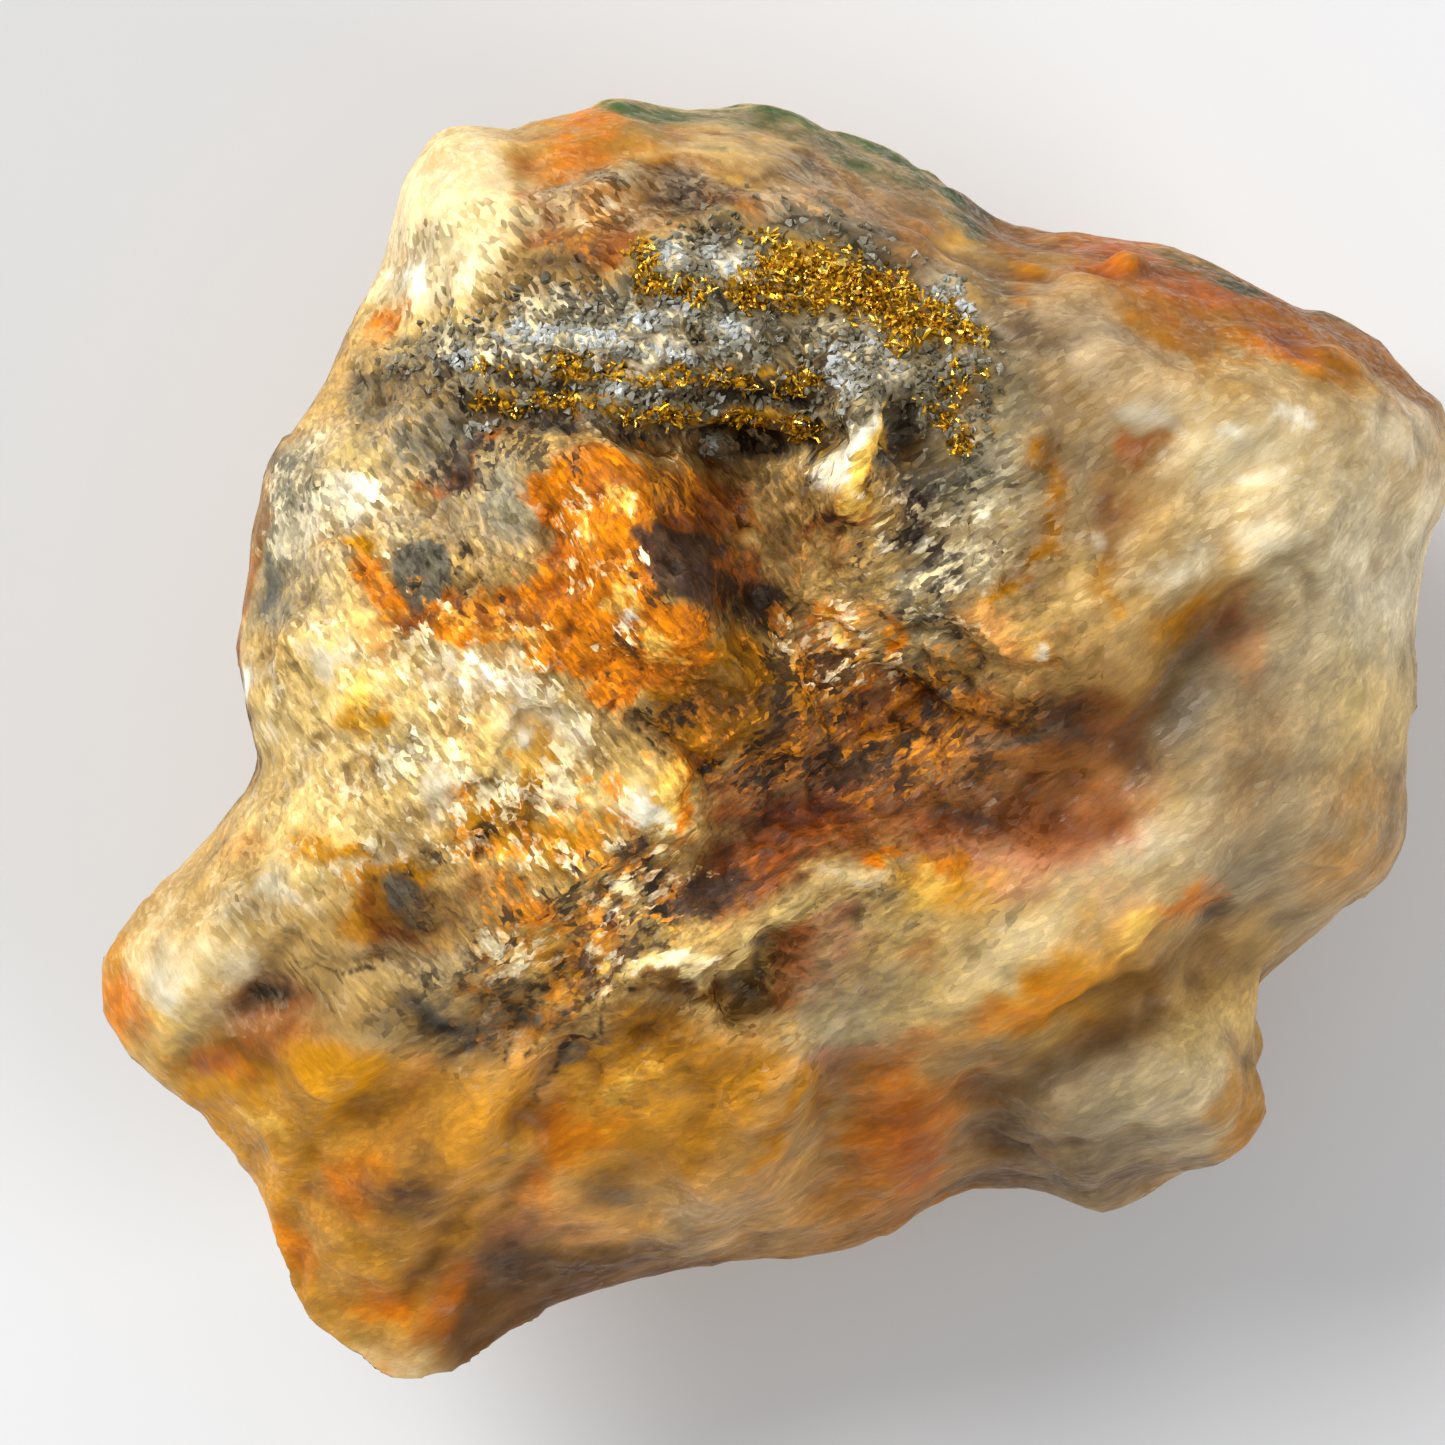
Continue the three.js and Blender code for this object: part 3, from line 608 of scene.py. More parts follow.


# Most masks are mineral stains; some also hold painted light, marked below.
STAINS = {
    "sage": [
        field(1.0, [(12.5, 3.5), (14.5, 5.0), (17.0, 6.5), (20.5, 8.5), (20.5, -1.0), (18.5, -4.5),
                    (15.5, -6.5), (13.5, -4.0), (12.2, -1.5), (11.4, 0.5)], 0.9),
        field(0.8, [(7.0, -9.6), (9.5, -8.6), (12.6, -8.6), (14.5, -10.5), (15.2, -12.8), (12.0, -15.0),
                    (8.5, -14.4), (6.6, -12.6)], 0.9),
        field(0.8, [(-15.6, 8.6), (-13.0, 10.0), (-9.4, 9.2), (-7.4, 8.6), (-7.6, 5.6), (-9.8, 5.2),
                    (-12.6, 6.0), (-14.4, 3.6), (-16.2, 3.0), (-16.2, 6.0)], 0.6),
        field(0.8, [(-2.6, 19.2), (1.0, 18.4), (4.6, 16.6), (6.6, 15.2), (3.6, 15.0), (0.6, 17.6), (-3.0, 18.0)], 0.7),
        field(0.8, [(7.4, 12.4), (8.8, 10.6), (10.0, 8.0), (9.0, 5.0), (6.6, 4.2), (4.4, 4.4), (4.4, 7.6), (6.6, 9.4)], 0.6),
        blot(15.6, 1.5, 3.0, 3.2), blot(17.4, 5.0, 2.6, 3.0), blot(14.0, -2.5, 3.0, 2.4, 20),
        blot(7.4, -5.9, 2.6, 1.1, 25), blot(10.6, -3.6, 2.6, 1.3, 30), blot(9.9, -11.2, 3.0, 2.4),
        blot(-14.0, 4.9, 1.4, 1.5, 0, 0.7), blot(-11.0, 1.2, 1.0, 0.8, 0, 0.6),
        blot(-11.0, -0.4, 1.0, 0.9, 0, 0.6), blot(1.7, -8.2, 1.6, 1.2, 20, 0.6),
        blot(-8.3, 6.9, 1.2, 1.1, 0, 0.7), blot(5.1, 5.2, 1.3, 1.3, 0, 0.6),
        blot(18.6, 10.2, 1.6, 1.6, 0, 0.8), blot(2.3, 16.5, 2.2, 0.8, -20, 0.5),
        blot(-10.4, -6.6, 2.4, 0.9, -10, 0.6), blot(12.8, 7.4, 3.0, 2.2, 30, 0.5),
    ],
    "cream": [
        blot(-11.5, -18.7, 1.7, 1.1, 0, 0.9), blot(-17.4, -10.1, 0.8, 0.6, -20, 0.7), blot(-12.6, -8.7, 1.4, 0.5, 20, 0.6),
        streak(0.4, [(-3.4, -10.8), (-2.4, -9.6), (-1.6, -8.8)], 0.7),
        field(0.9, [(-15.4, -0.4), (-14.6, 3.4), (-12.6, 4.4), (-10.6, 2.4), (-9.4, -0.6), (-11.2, -2.6),
                    (-14.4, -4.0), (-16.0, -3.0)], 0.6),
        field(1.0, [(-1.0, -4.8), (2.5, -3.9), (6.0, -3.8), (9.0, -3.9), (12.4, -3.2), (12.6, -4.8), (9.5, -6.9),
                    (6.4, -8.2), (3.4, -8.8), (1.2, -7.2)], 0.35),
        blot(-9.6, 16.3, 2.0, 2.4), blot(-13.2, 2.2, 1.8, 2.4), blot(-14.6, -3.4, 2.0, 1.0, -30),
        blot(-18.2, -7.0, 1.6, 1.5), blot(-2.3, 17.9, 2.6, 0.7, -5), blot(0.2, 16.5, 0.9, 0.5),
        blot(4.9, 16.0, 0.8, 0.6), blot(5.4, 15.1, 0.6, 0.6), blot(1.9, 8.4, 1.1, 1.7, 15),
        blot(-7.8, 0.0, 1.6, 1.6, -40), blot(-4.6, -1.7, 1.8, 1.5), blot(-10.6, 12.6, 1.6, 1.4),
        blot(8.7, 4.8, 0.9, 1.0), blot(9.4, 6.4, 1.6, 2.2, 20, 0.6), blot(11.2, 9.6, 2.2, 1.6, 20, 0.8),
        blot(14.2, 9.0, 2.6, 1.6, 10, 0.7), blot(17.7, 0.7, 1.2, 1.8, 0, 0.8),
        blot(4.5, -4.3, 1.1, 0.9), blot(-8.0, 9.3, 1.6, 0.6, 10, 0.6),
        blot(-12.6, 8.6, 1.2, 1.0, 0, 0.8),
        streak(0.35, [(3.0, -3.8), (0.8, -4.15), (-0.4, -5.3), (-1.7, -6.4), (-2.6, -6.7), (-4.3, -6.8)]),
        blot(-14.9, 0.2, 1.0, 1.4, 0, 0.8), blot(12.6, -8.7, 1.6, 0.8, 20, 0.6),
    ],
    # Milky quartz, and some small blots to the right that are painted highlights on glossy slopes.
    "milk": [
        field(0.5, [(-11.0, 2.9), (-9.0, 2.6), (-6.8, 2.0), (-5.4, 0.8), (-6.0, -0.4), (-7.4, -0.2),
                    (-8.6, 0.8), (-10.4, 1.2)], 0.55),
        field(0.6, [(-11.6, 17.6), (-9.4, 18.8), (-7.9, 18.2), (-7.8, 15.2), (-9.2, 13.6), (-11.4, 12.9),
                    (-12.4, 14.6)], 0.5),
        field(1.2, [(8.6, 12.8), (10.4, 12.6), (13.0, 11.2), (17.0, 10.2), (20.2, 10.0), (20.2, 5.0), (17.0, 6.0),
                    (14.2, 6.4), (12.0, 7.6), (10.6, 9.4), (9.0, 10.4)], 0.5),
        blot(-8.6, 1.8, 2.3, 1.2, -25, 0.5), blot(-9.9, 17.2, 1.3, 1.2, 0, 0.6), blot(-10.0, 15.0, 1.0, 1.0, 0, 0.6),
        blot(-13.7, 2.8, 0.7, 0.5), blot(-15.9, 1.9, 0.5, 0.7), blot(-12.9, 7.2, 1.3, 0.9, 0, 0.8),
        blot(-14.4, 6.4, 0.8, 0.9, 0, 0.8), blot(-11.0, 13.8, 0.9, 0.7), blot(-3.2, 14.6, 0.5, 0.5),
        blot(-1.3, 14.5, 1.0, 0.55, -20), blot(-2.9, 13.0, 0.5, 0.5), blot(-1.4, 12.4, 0.6, 0.45),
        blot(-5.5, 12.1, 0.9, 0.45), blot(-7.4, 12.3, 0.9, 0.5), blot(-3.6, 11.8, 0.9, 0.35),
        blot(5.0, 13.6, 0.6, 0.5), blot(5.4, 12.9, 0.5, 0.4), blot(-1.9, 8.9, 0.6, 0.45, 0, 0.8),
        blot(10.9, 9.9, 1.0, 0.8, 30), blot(9.4, 12.0, 1.6, 1.2, -30, 0.8), blot(13.7, 9.6, 0.7, 0.45),
        blot(15.3, 9.7, 0.8, 0.45), blot(9.1, 5.9, 0.4, 0.4), blot(14.2, 8.3, 0.7, 0.4, 20),
        blot(14.8, 6.0, 1.1, 0.7, 20, 0.8), blot(18.6, 9.4, 1.1, 1.0), blot(11.8, 5.2, 1.2, 0.6, 20, 0.7),
        blot(17.9, 4.6, 1.2, 1.4, 0, 0.8), blot(11.4, -2.6, 1.2, 0.6, 35, 0.5),
        blot(2.3, -3.9, 1.2, 0.5, 10, 0.5), blot(-4.4, -2.2, 0.9, 0.7, -40, 0.8), blot(-18.4, -6.6, 0.9, 0.9, 0, 0.7),
        blot(-15.0, -4.6, 0.7, 0.4, -20), blot(-16.4, -6.6, 0.7, 0.5, 0, 0.8), blot(-8.0, -1.4, 0.3, 0.3),
        blot(2.5, 9.4, 0.2, 0.5, -12), blot(-12.0, -18.7, 1.3, 0.8, 0, 0.7), blot(-2.6, -14.2, 1.2, 0.6, 35, 0.5), blot(1.4, 8.2, 1.0, 0.4, 15), blot(-9.0, -8.2, 1.2, 0.4, 0, 0.5),
        blot(-11.8, -3.2, 0.9, 0.5, 0, 0.6), blot(-10.2, -1.6, 1.2, 0.8, -30, 0.8),
    ],
    "peach": [
        field(1.0, [(-17.8, -9.8), (-13.6, -9.0), (-8.4, -9.0), (-6.0, -8.4), (-0.6, -8.0), (1.0, -9.0), (0.8, -12.6),
                    (2.6, -14.6), (-4.0, -15.0), (-9.6, -14.6), (-11.8, -17.6), (-14.4, -17.0), (-15.6, -13.4)], 0.4),
        streak(0.8, [(-10.6, -13.4), (-9.2, -11.6), (-7.8, -9.8)], 0.9), blot(-16.6, -10.9, 1.0, 0.8, -20, 0.9),
        blot(-15.0, -12.8, 0.6, 1.6, 20, 0.8), blot(-5.8, -14.2, 1.3, 0.8, -10), blot(-7.2, -13.2, 1.0, 0.7), blot(-2.6, -9.9, 1.0, 0.7, 30, 0.8),
        blot(1.6, -13.7, 1.6, 0.7, 15, 0.7), streak(0.5, [(6.2, -8.4), (8.0, -7.6), (9.8, -6.5), (11.4, -5.2)], 0.8),
        blot(1.0, 2.4, 1.6, 0.9, 30, 0.7), blot(2.4, 3.4, 1.2, 0.7, 30, 0.7), blot(3.0, 1.2, 1.8, 0.6, 28, 0.7),
        blot(5.8, 0.8, 1.8, 0.5, 20, 0.6), blot(0.2, 0.6, 1.2, 0.4, 30, 0.5), blot(-4.6, 4.6, 0.7, 0.9, 30, 0.8),
        blot(6.2, 3.6, 0.8, 0.5, -20), streak(0.35, [(6.2, 3.5), (7.1, 2.8), (8.3, 3.0)]),
        blot(-4.2, 15.9, 0.5, 0.6), blot(-1.2, 16.7, 0.9, 0.5),
        blot(6.9, -0.2, 2.2, 0.5, 8, 0.8), blot(10.6, -5.6, 1.2, 0.6, 35), blot(-11.3, 4.0, 0.8, 0.3, -40, 0.6),
        blot(2.4, -1.2, 1.6, 0.7, 15, 0.5), blot(10.9, 8.8, 0.5, 0.3, 40),
        blot(-12.2, 3.3, 0.9, 1.3, 20, 0.7), blot(-16.2, -2.9, 0.8, 0.5, -30, 0.6),
        blot(9.0, -2.8, 1.2, 0.4, 20, 0.6),
    ],
    "rose": [
        blot(-8.2, -14.4, 1.3, 0.8, 10, 0.7), streak(0.6, [(-11.6, -11.6), (-10.6, -9.6)], 0.7), blot(-1.6, -9.9, 0.8, 0.8, 0, 0.7),
        blot(-6.9, -10.9, 0.8, 1.4, -20, 0.6), blot(2.4, -9.2, 1.8, 0.6, 10, 0.6), blot(-13.6, -12.9, 0.6, 1.4, 10, 0.5),
        blot(-3.4, -11.4, 1.0, 1.2, 0, 0.5), blot(2.2, -6.0, 1.6, 1.4, 0, 0.45),
        field(1.0, [(3.4, -2.4), (7.0, -1.8), (10.0, -1.4), (10.8, -2.8), (8.4, -4.4), (4.6, -4.4)], 0.85),
        blot(-15.4, -8.0, 1.5, 0.7, -10, 0.6), blot(-5.2, 15.4, 1.6, 0.6, 10, 0.7),
        blot(-0.4, 16.6, 2.2, 0.5, -8, 0.6), blot(0.9, -6.3, 1.0, 1.2, -25, 0.6),
        blot(10.0, -4.6, 1.8, 0.6, 30, 0.4), blot(1.2, -1.8, 2.0, 0.6, 10, 0.6),
        blot(-16.6, 3.4, 0.5, 2.6, 5, 0.6), blot(13.6, 3.0, 1.0, 0.5, 40, 0.5),
    ],
    "ochre": [
        field(0.8, [(-19.2, -9.0), (-17.0, -9.3), (-14.0, -9.0), (-11.0, -9.2), (-8.2, -9.6), (-6.4, -10.6),
                    (-7.4, -12.6), (-9.4, -15.0), (-10.6, -17.4), (-11.8, -19.6), (-13.8, -18.6),
                    (-15.6, -16.4), (-16.4, -13.4), (-17.8, -11.0)], 0.65),
        streak(0.45, [(-15.0, -14.4), (-14.5, -12.8), (-13.6, -11.1), (-12.2, -10.2)]), blot(-15.9, -10.6, 1.1, 0.6, -10, 0.95),
        blot(-12.4, -10.9, 1.2, 0.7, 30, 0.8), blot(-4.7, -10.6, 0.7, 1.2, 0), streak(0.45, [(-0.5, -12.6), (0.6, -10.9), (1.1, -9.8)], 0.95),
        blot(-12.8, -14.8, 0.9, 1.2, 0, 0.7), blot(-9.9, -16.8, 0.7, 1.2, -20, 0.9), blot(-3.6, -11.8, 1.2, 0.6, 20, 0.7),
        blot(3.0, -11.8, 1.5, 2.2, -10), blot(-8.0, -12.4, 0.6, 0.9, -30, 0.6), blot(-6.4, -9.6, 1.2, 0.5, 20, 0.6),
        field(0.8, [(-6.8, -9.4), (-4.6, -8.0), (-1.8, -8.6), (-0.2, -9.6), (-0.8, -11.6), (-2.6, -13.0),
                    (-5.2, -13.2), (-7.4, -12.6)], 0.75),
        field(0.5, [(7.2, 15.8), (9.5, 15.6), (13.0, 14.8), (17.0, 13.2), (20.4, 11.4), (19.6, 10.7), (17.0, 11.0),
                    (14.0, 11.5), (11.6, 12.1), (9.8, 13.2), (8.4, 14.4)]),
        field(0.7, [(-6.4, 19.2), (-3.2, 18.6), (-2.8, 17.8), (-5.2, 17.4), (-7.6, 17.2), (-7.6, 18.4)], 0.8),
        field(0.7, [(-4.2, 3.4), (-2.0, 3.8), (-0.4, 2.8), (0.4, 1.4), (-0.2, 0.2), (-1.2, -0.6), (-2.4, -0.4),
                    (-3.4, 0.6)], 0.95),
        streak(0.9, [(-17.5, -10.4), (-15.0, -9.6), (-12.4, -10.2)]),
        field(0.6, [(-13.2, -3.6), (-11.4, -3.2), (-10.2, -3.6), (-10.6, -4.6), (-12.0, -5.8), (-13.4, -5.6)], 0.9),
        field(0.4, [(-7.2, -0.1), (-6.6, -0.4), (-6.4, -1.0), (-7.4, -2.6), (-8.2, -3.4), (-9.0, -3.5), (-9.4, -2.6), (-9.4, -1.8),
                    (-8.5, -1.7), (-7.8, -1.0)]),
        blot(-12.9, 0.95, 0.5, 0.6), blot(-12.1, 0.75, 0.4, 0.4), blot(-12.6, 5.3, 0.7, 0.35, -30),
        blot(-8.6, -2.4, 1.2, 1.1), blot(-7.2, -0.6, 0.9, 1.1), blot(-6.0, -2.6, 1.0, 0.7, 30, 0.8), blot(-13.8, -3.0, 0.9, 0.8, 0, 0.8), blot(-3.2, -1.5, 0.65, 1.6, -10),
        blot(-13.0, -2.9, 0.7, 0.4, -10), blot(12.4, 13.2, 3.0, 1.0, -15), blot(9.6, 14.7, 1.6, 0.6, -8),
        streak(0.35, [(6.5, 15.6), (7.1, 14.9), (7.5, 13.9), (7.6, 13.2)]),
        streak(0.9, [(14.0, 12.4), (17.0, 11.9), (19.6, 10.9)]), blot(-19.9, -6.4, 0.4, 1.6, 10),
        streak(0.4, [(7.5, 9.2), (8.2, 7.8), (8.0, 6.2), (7.0, 4.9), (6.3, 4.4)]),
        streak(0.3, [(9.6, 5.6), (9.4, 4.6), (9.9, 3.6)], 0.7),
        blot(12.3, 3.6, 1.0, 0.7, 30), blot(2.9, 8.5, 0.25, 0.9, 0), blot(2.2, 7.1, 0.7, 0.4), blot(4.9, -4.2, 1.5, 0.9, -20),
        blot(8.4, -7.4, 2.4, 0.8, 30),
        blot(14.2, -11.4, 0.8, 1.5),
        blot(-5.6, 18.4, 1.4, 0.7, 15), blot(-3.0, 17.4, 1.4, 0.4, 0), blot(-4.0, 3.6, 1.4, 0.9, -40),
        blot(-1.9, 1.6, 1.6, 1.5, 0, 0.7), blot(-6.8, -3.0, 1.0, 1.2, 0, 0.7), blot(-6.4, -6.4, 1.8, 0.8, 15, 0.7),
        blot(14.0, -1.0, 1.4, 2.4, -30, 0.4), blot(16.8, -3.4, 1.6, 1.2, 30, 0.6),
        blot(0.4, 1.6, 1.4, 1.2, 0, 0.6),
        blot(-17.0, -8.9, 1.2, 0.5, 20, 0.5), blot(17.6, -1.6, 1.0, 1.2, 0, 0.6), blot(-10.0, 4.0, 2.2, 0.6, -15, 0.6),
    ],
    "amber": [
        blot(-7.2, -13.4, 0.7, 0.6, 0, 0.7), blot(-13.0, -13.0, 0.8, 1.0, 0, 0.8), blot(-10.3, -17.0, 0.7, 1.1, -20, 0.8),
        blot(-12.7, -13.3, 0.9, 0.9), blot(-14.8, -15.1, 0.5, 0.9, 15, 0.9), blot(-12.0, -16.7, 1.1, 0.5, 15, 0.95),
        blot(-6.3, -11.9, 0.8, 1.0), blot(3.5, -11.4, 1.5, 2.1, -12), blot(-9.8, -16.3, 0.4, 0.9, -20, 0.8),
        blot(-4.9, -11.3, 0.6, 0.8, 0, 0.6), blot(4.1, -6.1, 0.9, 0.4, 30, 0.45),
        field(0.45, [(-12.8, 5.2), (-11.5, 4.2), (-9.6, 4.5), (-7.8, 4.7), (-6.8, 5.5), (-7.3, 6.8), (-7.5, 7.9),
                     (-6.7, 8.8), (-5.5, 8.9), (-4.1, 8.4), (-3.7, 7.2), (-4.2, 6.2), (-3.5, 4.6), (-2.0, 3.9),
                     (-1.9, 2.8), (-3.0, 1.9), (-4.2, 1.2), (-5.2, 1.8), (-6.9, 2.8), (-9.1, 3.1), (-11.0, 3.3),
                     (-12.8, 4.6)]),
        blot(-5.6, 7.6, 1.3, 1.2, -30), blot(-5.5, 6.2, 1.2, 1.5, 20), blot(-5.7, 4.4, 1.8, 1.1, -30),
        blot(-8.3, 3.7, 2.0, 0.7, -12), blot(-10.6, 3.7, 1.2, 0.5, -10), blot(-12.2, 4.6, 0.9, 0.4, -45),
        blot(-3.8, 3.4, 0.9, 1.2, 35), blot(-5.0, 2.0, 0.5, 1.2, 15), blot(-6.3, 17.6, 1.1, 0.7, 20),
        blot(-5.4, 18.9, 0.8, 0.4, 20), blot(-19.8, -7.9, 0.8, 1.0), blot(-3.0, -1.0, 0.5, 1.3, -10),
        blot(-2.9, -2.2, 0.45, 0.7), blot(1.9, 3.3, 0.6, 0.9, 20), blot(3.6, 3.1, 0.32, 0.6, -20),
        blot(2.1, 1.8, 0.5, 0.5), blot(2.0, 0.7, 0.45, 0.35), blot(0.8, 2.4, 0.5, 0.6, 0, 0.8),
        blot(13.6, 4.0, 1.0, 0.35, 40, 0.4), blot(14.2, 2.6, 0.6, 0.9, -20, 0.5), blot(15.0, 11.95, 0.9, 0.45, -10),
        blot(12.6, 13.4, 1.9, 0.6, -12), blot(10.0, 14.8, 1.1, 0.4, -10), blot(-5.5, -6.0, 0.5, 0.6),
        blot(-7.3, -5.3, 0.9, 0.6), blot(-5.4, -6.2, 0.7, 0.9), blot(-4.6, -2.9, 0.8, 0.4, -40, 0.7),
        streak(0.35, [(5.8, -8.6), (7.4, -8.0), (8.8, -7.0)], 0.5),
        blot(4.8, -3.9, 0.8, 0.5),
        blot(2.8, -3.1, 0.7, 0.3, 10), blot(12.2, -4.6, 0.9, 0.4, 40), blot(10.6, 8.6, 0.6, 0.3, 50),
        blot(-12.6, -4.2, 0.4, 0.8, 0, 0.5), blot(-8.6, -2.2, 0.5, 0.6, -30, 0.5),
        blot(-8.6, 9.0, 0.5, 0.25, 30), blot(-5.5, 14.6, 0.8, 0.3, 15), blot(1.9, 7.1, 0.35, 0.35),
        blot(-11.9, 12.7, 0.3, 0.8, -30),
        blot(-6.9, 2.9, 1.2, 0.4, -12), blot(-3.1, 7.4, 0.8, 1.2, 25, 0.55),
        blot(-16.9, -9.5, 1.0, 0.3, -12), blot(3.5, -0.2, 1.0, 0.4, 10, 0.7), blot(4.6, 0.6, 1.0, 0.3, 10, 0.6),
    ],
    "rust": [
        field(0.9, [(-1.5, -0.5), (0.5, 1.3), (3.0, 2.3), (6.0, 1.4), (8.5, 1.1), (11.2, 1.3), (11.0, -1.0),
                    (10.0, -2.8), (7.5, -3.1), (5.0, -2.9), (3.0, -2.8), (1.0, -3.6), (-0.3, -4.2), (-1.8, -5.2),
                    (-2.6, -4.4), (-1.8, -2.4)], 0.8),
        blot(0.8, -2.0, 2.6, 1.0, 12), blot(7.2, -1.9, 2.8, 0.8, 4), blot(9.4, -1.4, 1.6, 0.8, 10),
        blot(-0.8, -3.2, 1.6, 0.8, 10), blot(3.6, -1.2, 1.2, 0.5, 5),
        blot(0.5, -6.5, 0.7, 1.4, -25, 0.7), 
        blot(-7.5, 16.2, 0.4, 1.0), blot(-7.2, 15.4, 0.6, 0.4), blot(-5.2, 14.9, 0.8, 0.4, 10),
        blot(-9.8, 8.1, 1.0, 0.25, 20), blot(-10.7, 7.9, 0.4, 0.3), blot(-12.5, -4.6, 0.5, 0.9, 0, 0.7),
        blot(-11.2, -5.6, 1.3, 0.5, -20, 0.6), blot(-2.3, 7.0, 1.4, 1.4, 0, 0.75), blot(-3.8, 8.2, 1.2, 0.6, 0, 0.7),
        blot(-15.2, -7.6, 1.0, 0.6, -20), blot(-15.4, -8.7, 1.5, 0.5, -10), blot(-17.0, -9.4, 0.8, 0.3),
        blot(1.3, 6.5, 0.8, 0.35, 10), blot(2.1, 6.7, 0.5, 0.3), blot(9.7, 7.0, 0.45, 1.4, -20, 0.6),
        blot(13.2, 3.6, 0.6, 0.5, 30, 0.4), blot(-8.8, 3.9, 1.4, 0.4, -8), blot(-11.2, 3.7, 0.9, 0.3, -15),
        blot(-1.4, 4.8, 0.8, 0.9), blot(-2.0, -0.2, 0.5, 0.8, -30, 0.6),
        blot(15.2, 11.9, 0.5, 0.25), blot(-1.5, -1.2, 1.0, 0.8, 0, 0.6), blot(-6.6, 5.6, 0.4, 1.2, 20, 0.5),
        blot(9.0, 1.2, 1.4, 0.6, 10, 0.7), blot(-5.2, 7.8, 0.8, 0.5, -30, 0.5), blot(0.9, 5.8, 1.4, 0.8, 0, 0.4),
        streak(0.5, [(-16.1, 1.0), (-16.6, 3.2), (-16.2, 5.8), (-15.4, 7.6)], 0.35),
        blot(-8.7, -4.6, 1.0, 0.6, 0, 0.5), blot(6.0, 1.0, 1.2, 0.5, 0, 0.6),
    ],
    "plum": [
        blot(-11.1, -13.3, 0.9, 1.3, 0, 0.8), blot(-7.6, -15.4, 2.2, 0.9, 0, 0.7),
        field(0.3, [(-5.0, 6.2), (-4.0, 6.5), (-2.8, 6.2), (-1.9, 5.7), (-1.5, 5.0), (-2.1, 4.3), (-2.8, 4.7),
                    (-4.0, 5.1), (-4.6, 5.6)]),
        blot(-9.6, 8.45, 1.0, 0.4, 20), blot(-5.5, 16.6, 1.2, 0.6, 15),
        blot(-2.4, 16.5, 1.5, 0.6, -8), blot(0.2, 17.0, 1.4, 0.35, -8, 0.7),
        blot(-4.4, -3.7, 1.4, 0.6, -10, 0.8), blot(-2.8, -4.6, 1.6, 0.8, 15), blot(-6.2, -3.6, 0.4, 0.6),
        blot(-16.4, -5.2, 1.0, 0.8, -30, 0.5), blot(4.2, 7.2, 0.5, 1.5, 0, 0.8), blot(7.2, 12.2, 1.6, 0.8, -30, 0.7),
        blot(8.4, 0.4, 1.6, 0.8, 10, 0.5), blot(5.4, -1.9, 1.2, 0.4, 5, 0.7),
        blot(-6.5, 14.4, 1.4, 0.5, 20, 0.7), blot(-15.2, 9.0, 0.4, 0.7, -30), blot(11.4, -0.4, 1.4, 0.8, 40, 0.45),
        blot(-15.2, -7.4, 0.7, 0.4), blot(-9.6, -4.8, 0.8, 0.5, 0, 0.5), blot(0.2, 8.0, 1.2, 0.7, 0, 0.5),
        streak(0.3, [(-15.8, -0.2), (-16.3, 1.4), (-16.5, 3.0)], 0.4), blot(13.0, -4.9, 0.8, 0.5, 40, 0.7),
    ],
    # Dark brown stain, and painted shade on the shaded right flank of the amber ridge and along the bottom edge.
    "umber": [
        blot(-16.3, -9.5, 1.4, 0.4, -12, 0.7), streak(0.3, [(-10.0, -14.6), (-9.0, -13.2), (-8.2, -11.8), (-7.2, -10.1), (-6.4, -8.8)], 0.4),
        streak(0.3, [(-10.2, -14.9), (-11.3, -16.6)], 0.7), blot(-4.9, -13.1, 0.9, 0.5, 20, 0.7), blot(3.0, -9.8, 1.0, 0.6, 0, 0.7),
        streak(0.4, [(-9.0, -18.6), (-5.0, -17.2), (0.0, -16.4), (4.4, -15.2), (7.2, -13.6)], 0.8),
        field(0.7, [(-10.6, -16.8), (-9.2, -15.0), (-6.4, -14.9), (-3.4, -15.5), (0.6, -15.7), (-0.4, -17.0),
                    (-4.0, -17.4), (-7.6, -18.0), (-10.0, -18.8)], 0.8),
        field(0.6, [(-7.2, 15.2), (-5.6, 16.4), (-2.8, 17.2), (0.8, 17.4), (2.6, 16.8), (0.6, 16.1), (-2.4, 15.9),
                    (-4.6, 15.3), (-6.2, 14.6)], 0.8),
        field(0.6, [(-4.6, 8.0), (-3.2, 8.4), (-1.6, 7.0), (-1.0, 5.4), (-1.6, 4.2), (-3.0, 4.4), (-4.0, 6.4)], 0.9),
        blot(-2.8, 7.2, 1.1, 1.3, 10), blot(-1.7, 1.6, 1.6, 1.6, -20, 0.75), blot(-1.7, 6.4, 0.8, 0.8),
        blot(0.4, -2.4, 1.8, 0.9, 15), blot(-0.4, 0.6, 1.0, 0.7), blot(6.6, -11.4, 1.5, 2.6, 0, 0.5),
        blot(-3.4, 3.2, 0.8, 0.6, -40, 0.7), blot(9.2, 1.2, 1.4, 0.8, 20, 0.7), blot(13.2, 3.4, 0.6, 0.6, 0, 0.6),
        blot(2.7, 1.4, 1.8, 1.0, 0, 0.7), blot(4.8, 2.2, 1.2, 0.8, 0, 0.6), blot(-11.6, -4.7, 1.2, 1.3, 0, 0.6), blot(-7.9, -2.2, 0.6, 0.8, -40, 0.5), blot(13.6, -5.6, 2.0, 0.8, 35, 0.5),
        blot(-1.4, -3.6, 1.6, 0.8, 15, 0.8),
        blot(10.6, -7.4, 2.4, 0.9, 32, 0.75), blot(13.0, -5.9, 1.6, 0.8, 38, 0.45), blot(-2.9, -7.3, 1.6, 0.4, 5),
        blot(-4.6, -8.6, 1.8, 0.8, 15, 0.6), blot(-9.3, -8.1, 3.0, 0.6, -5, 0.7), blot(0.6, 14.0, 2.6, 1.2, -18, 0.5),
        blot(3.8, 12.9, 2.0, 1.0, -25, 0.5), blot(-3.8, 14.2, 0.9, 0.9, 0, 0.8), blot(-6.6, 11.3, 2.4, 0.4, -3, 0.8),
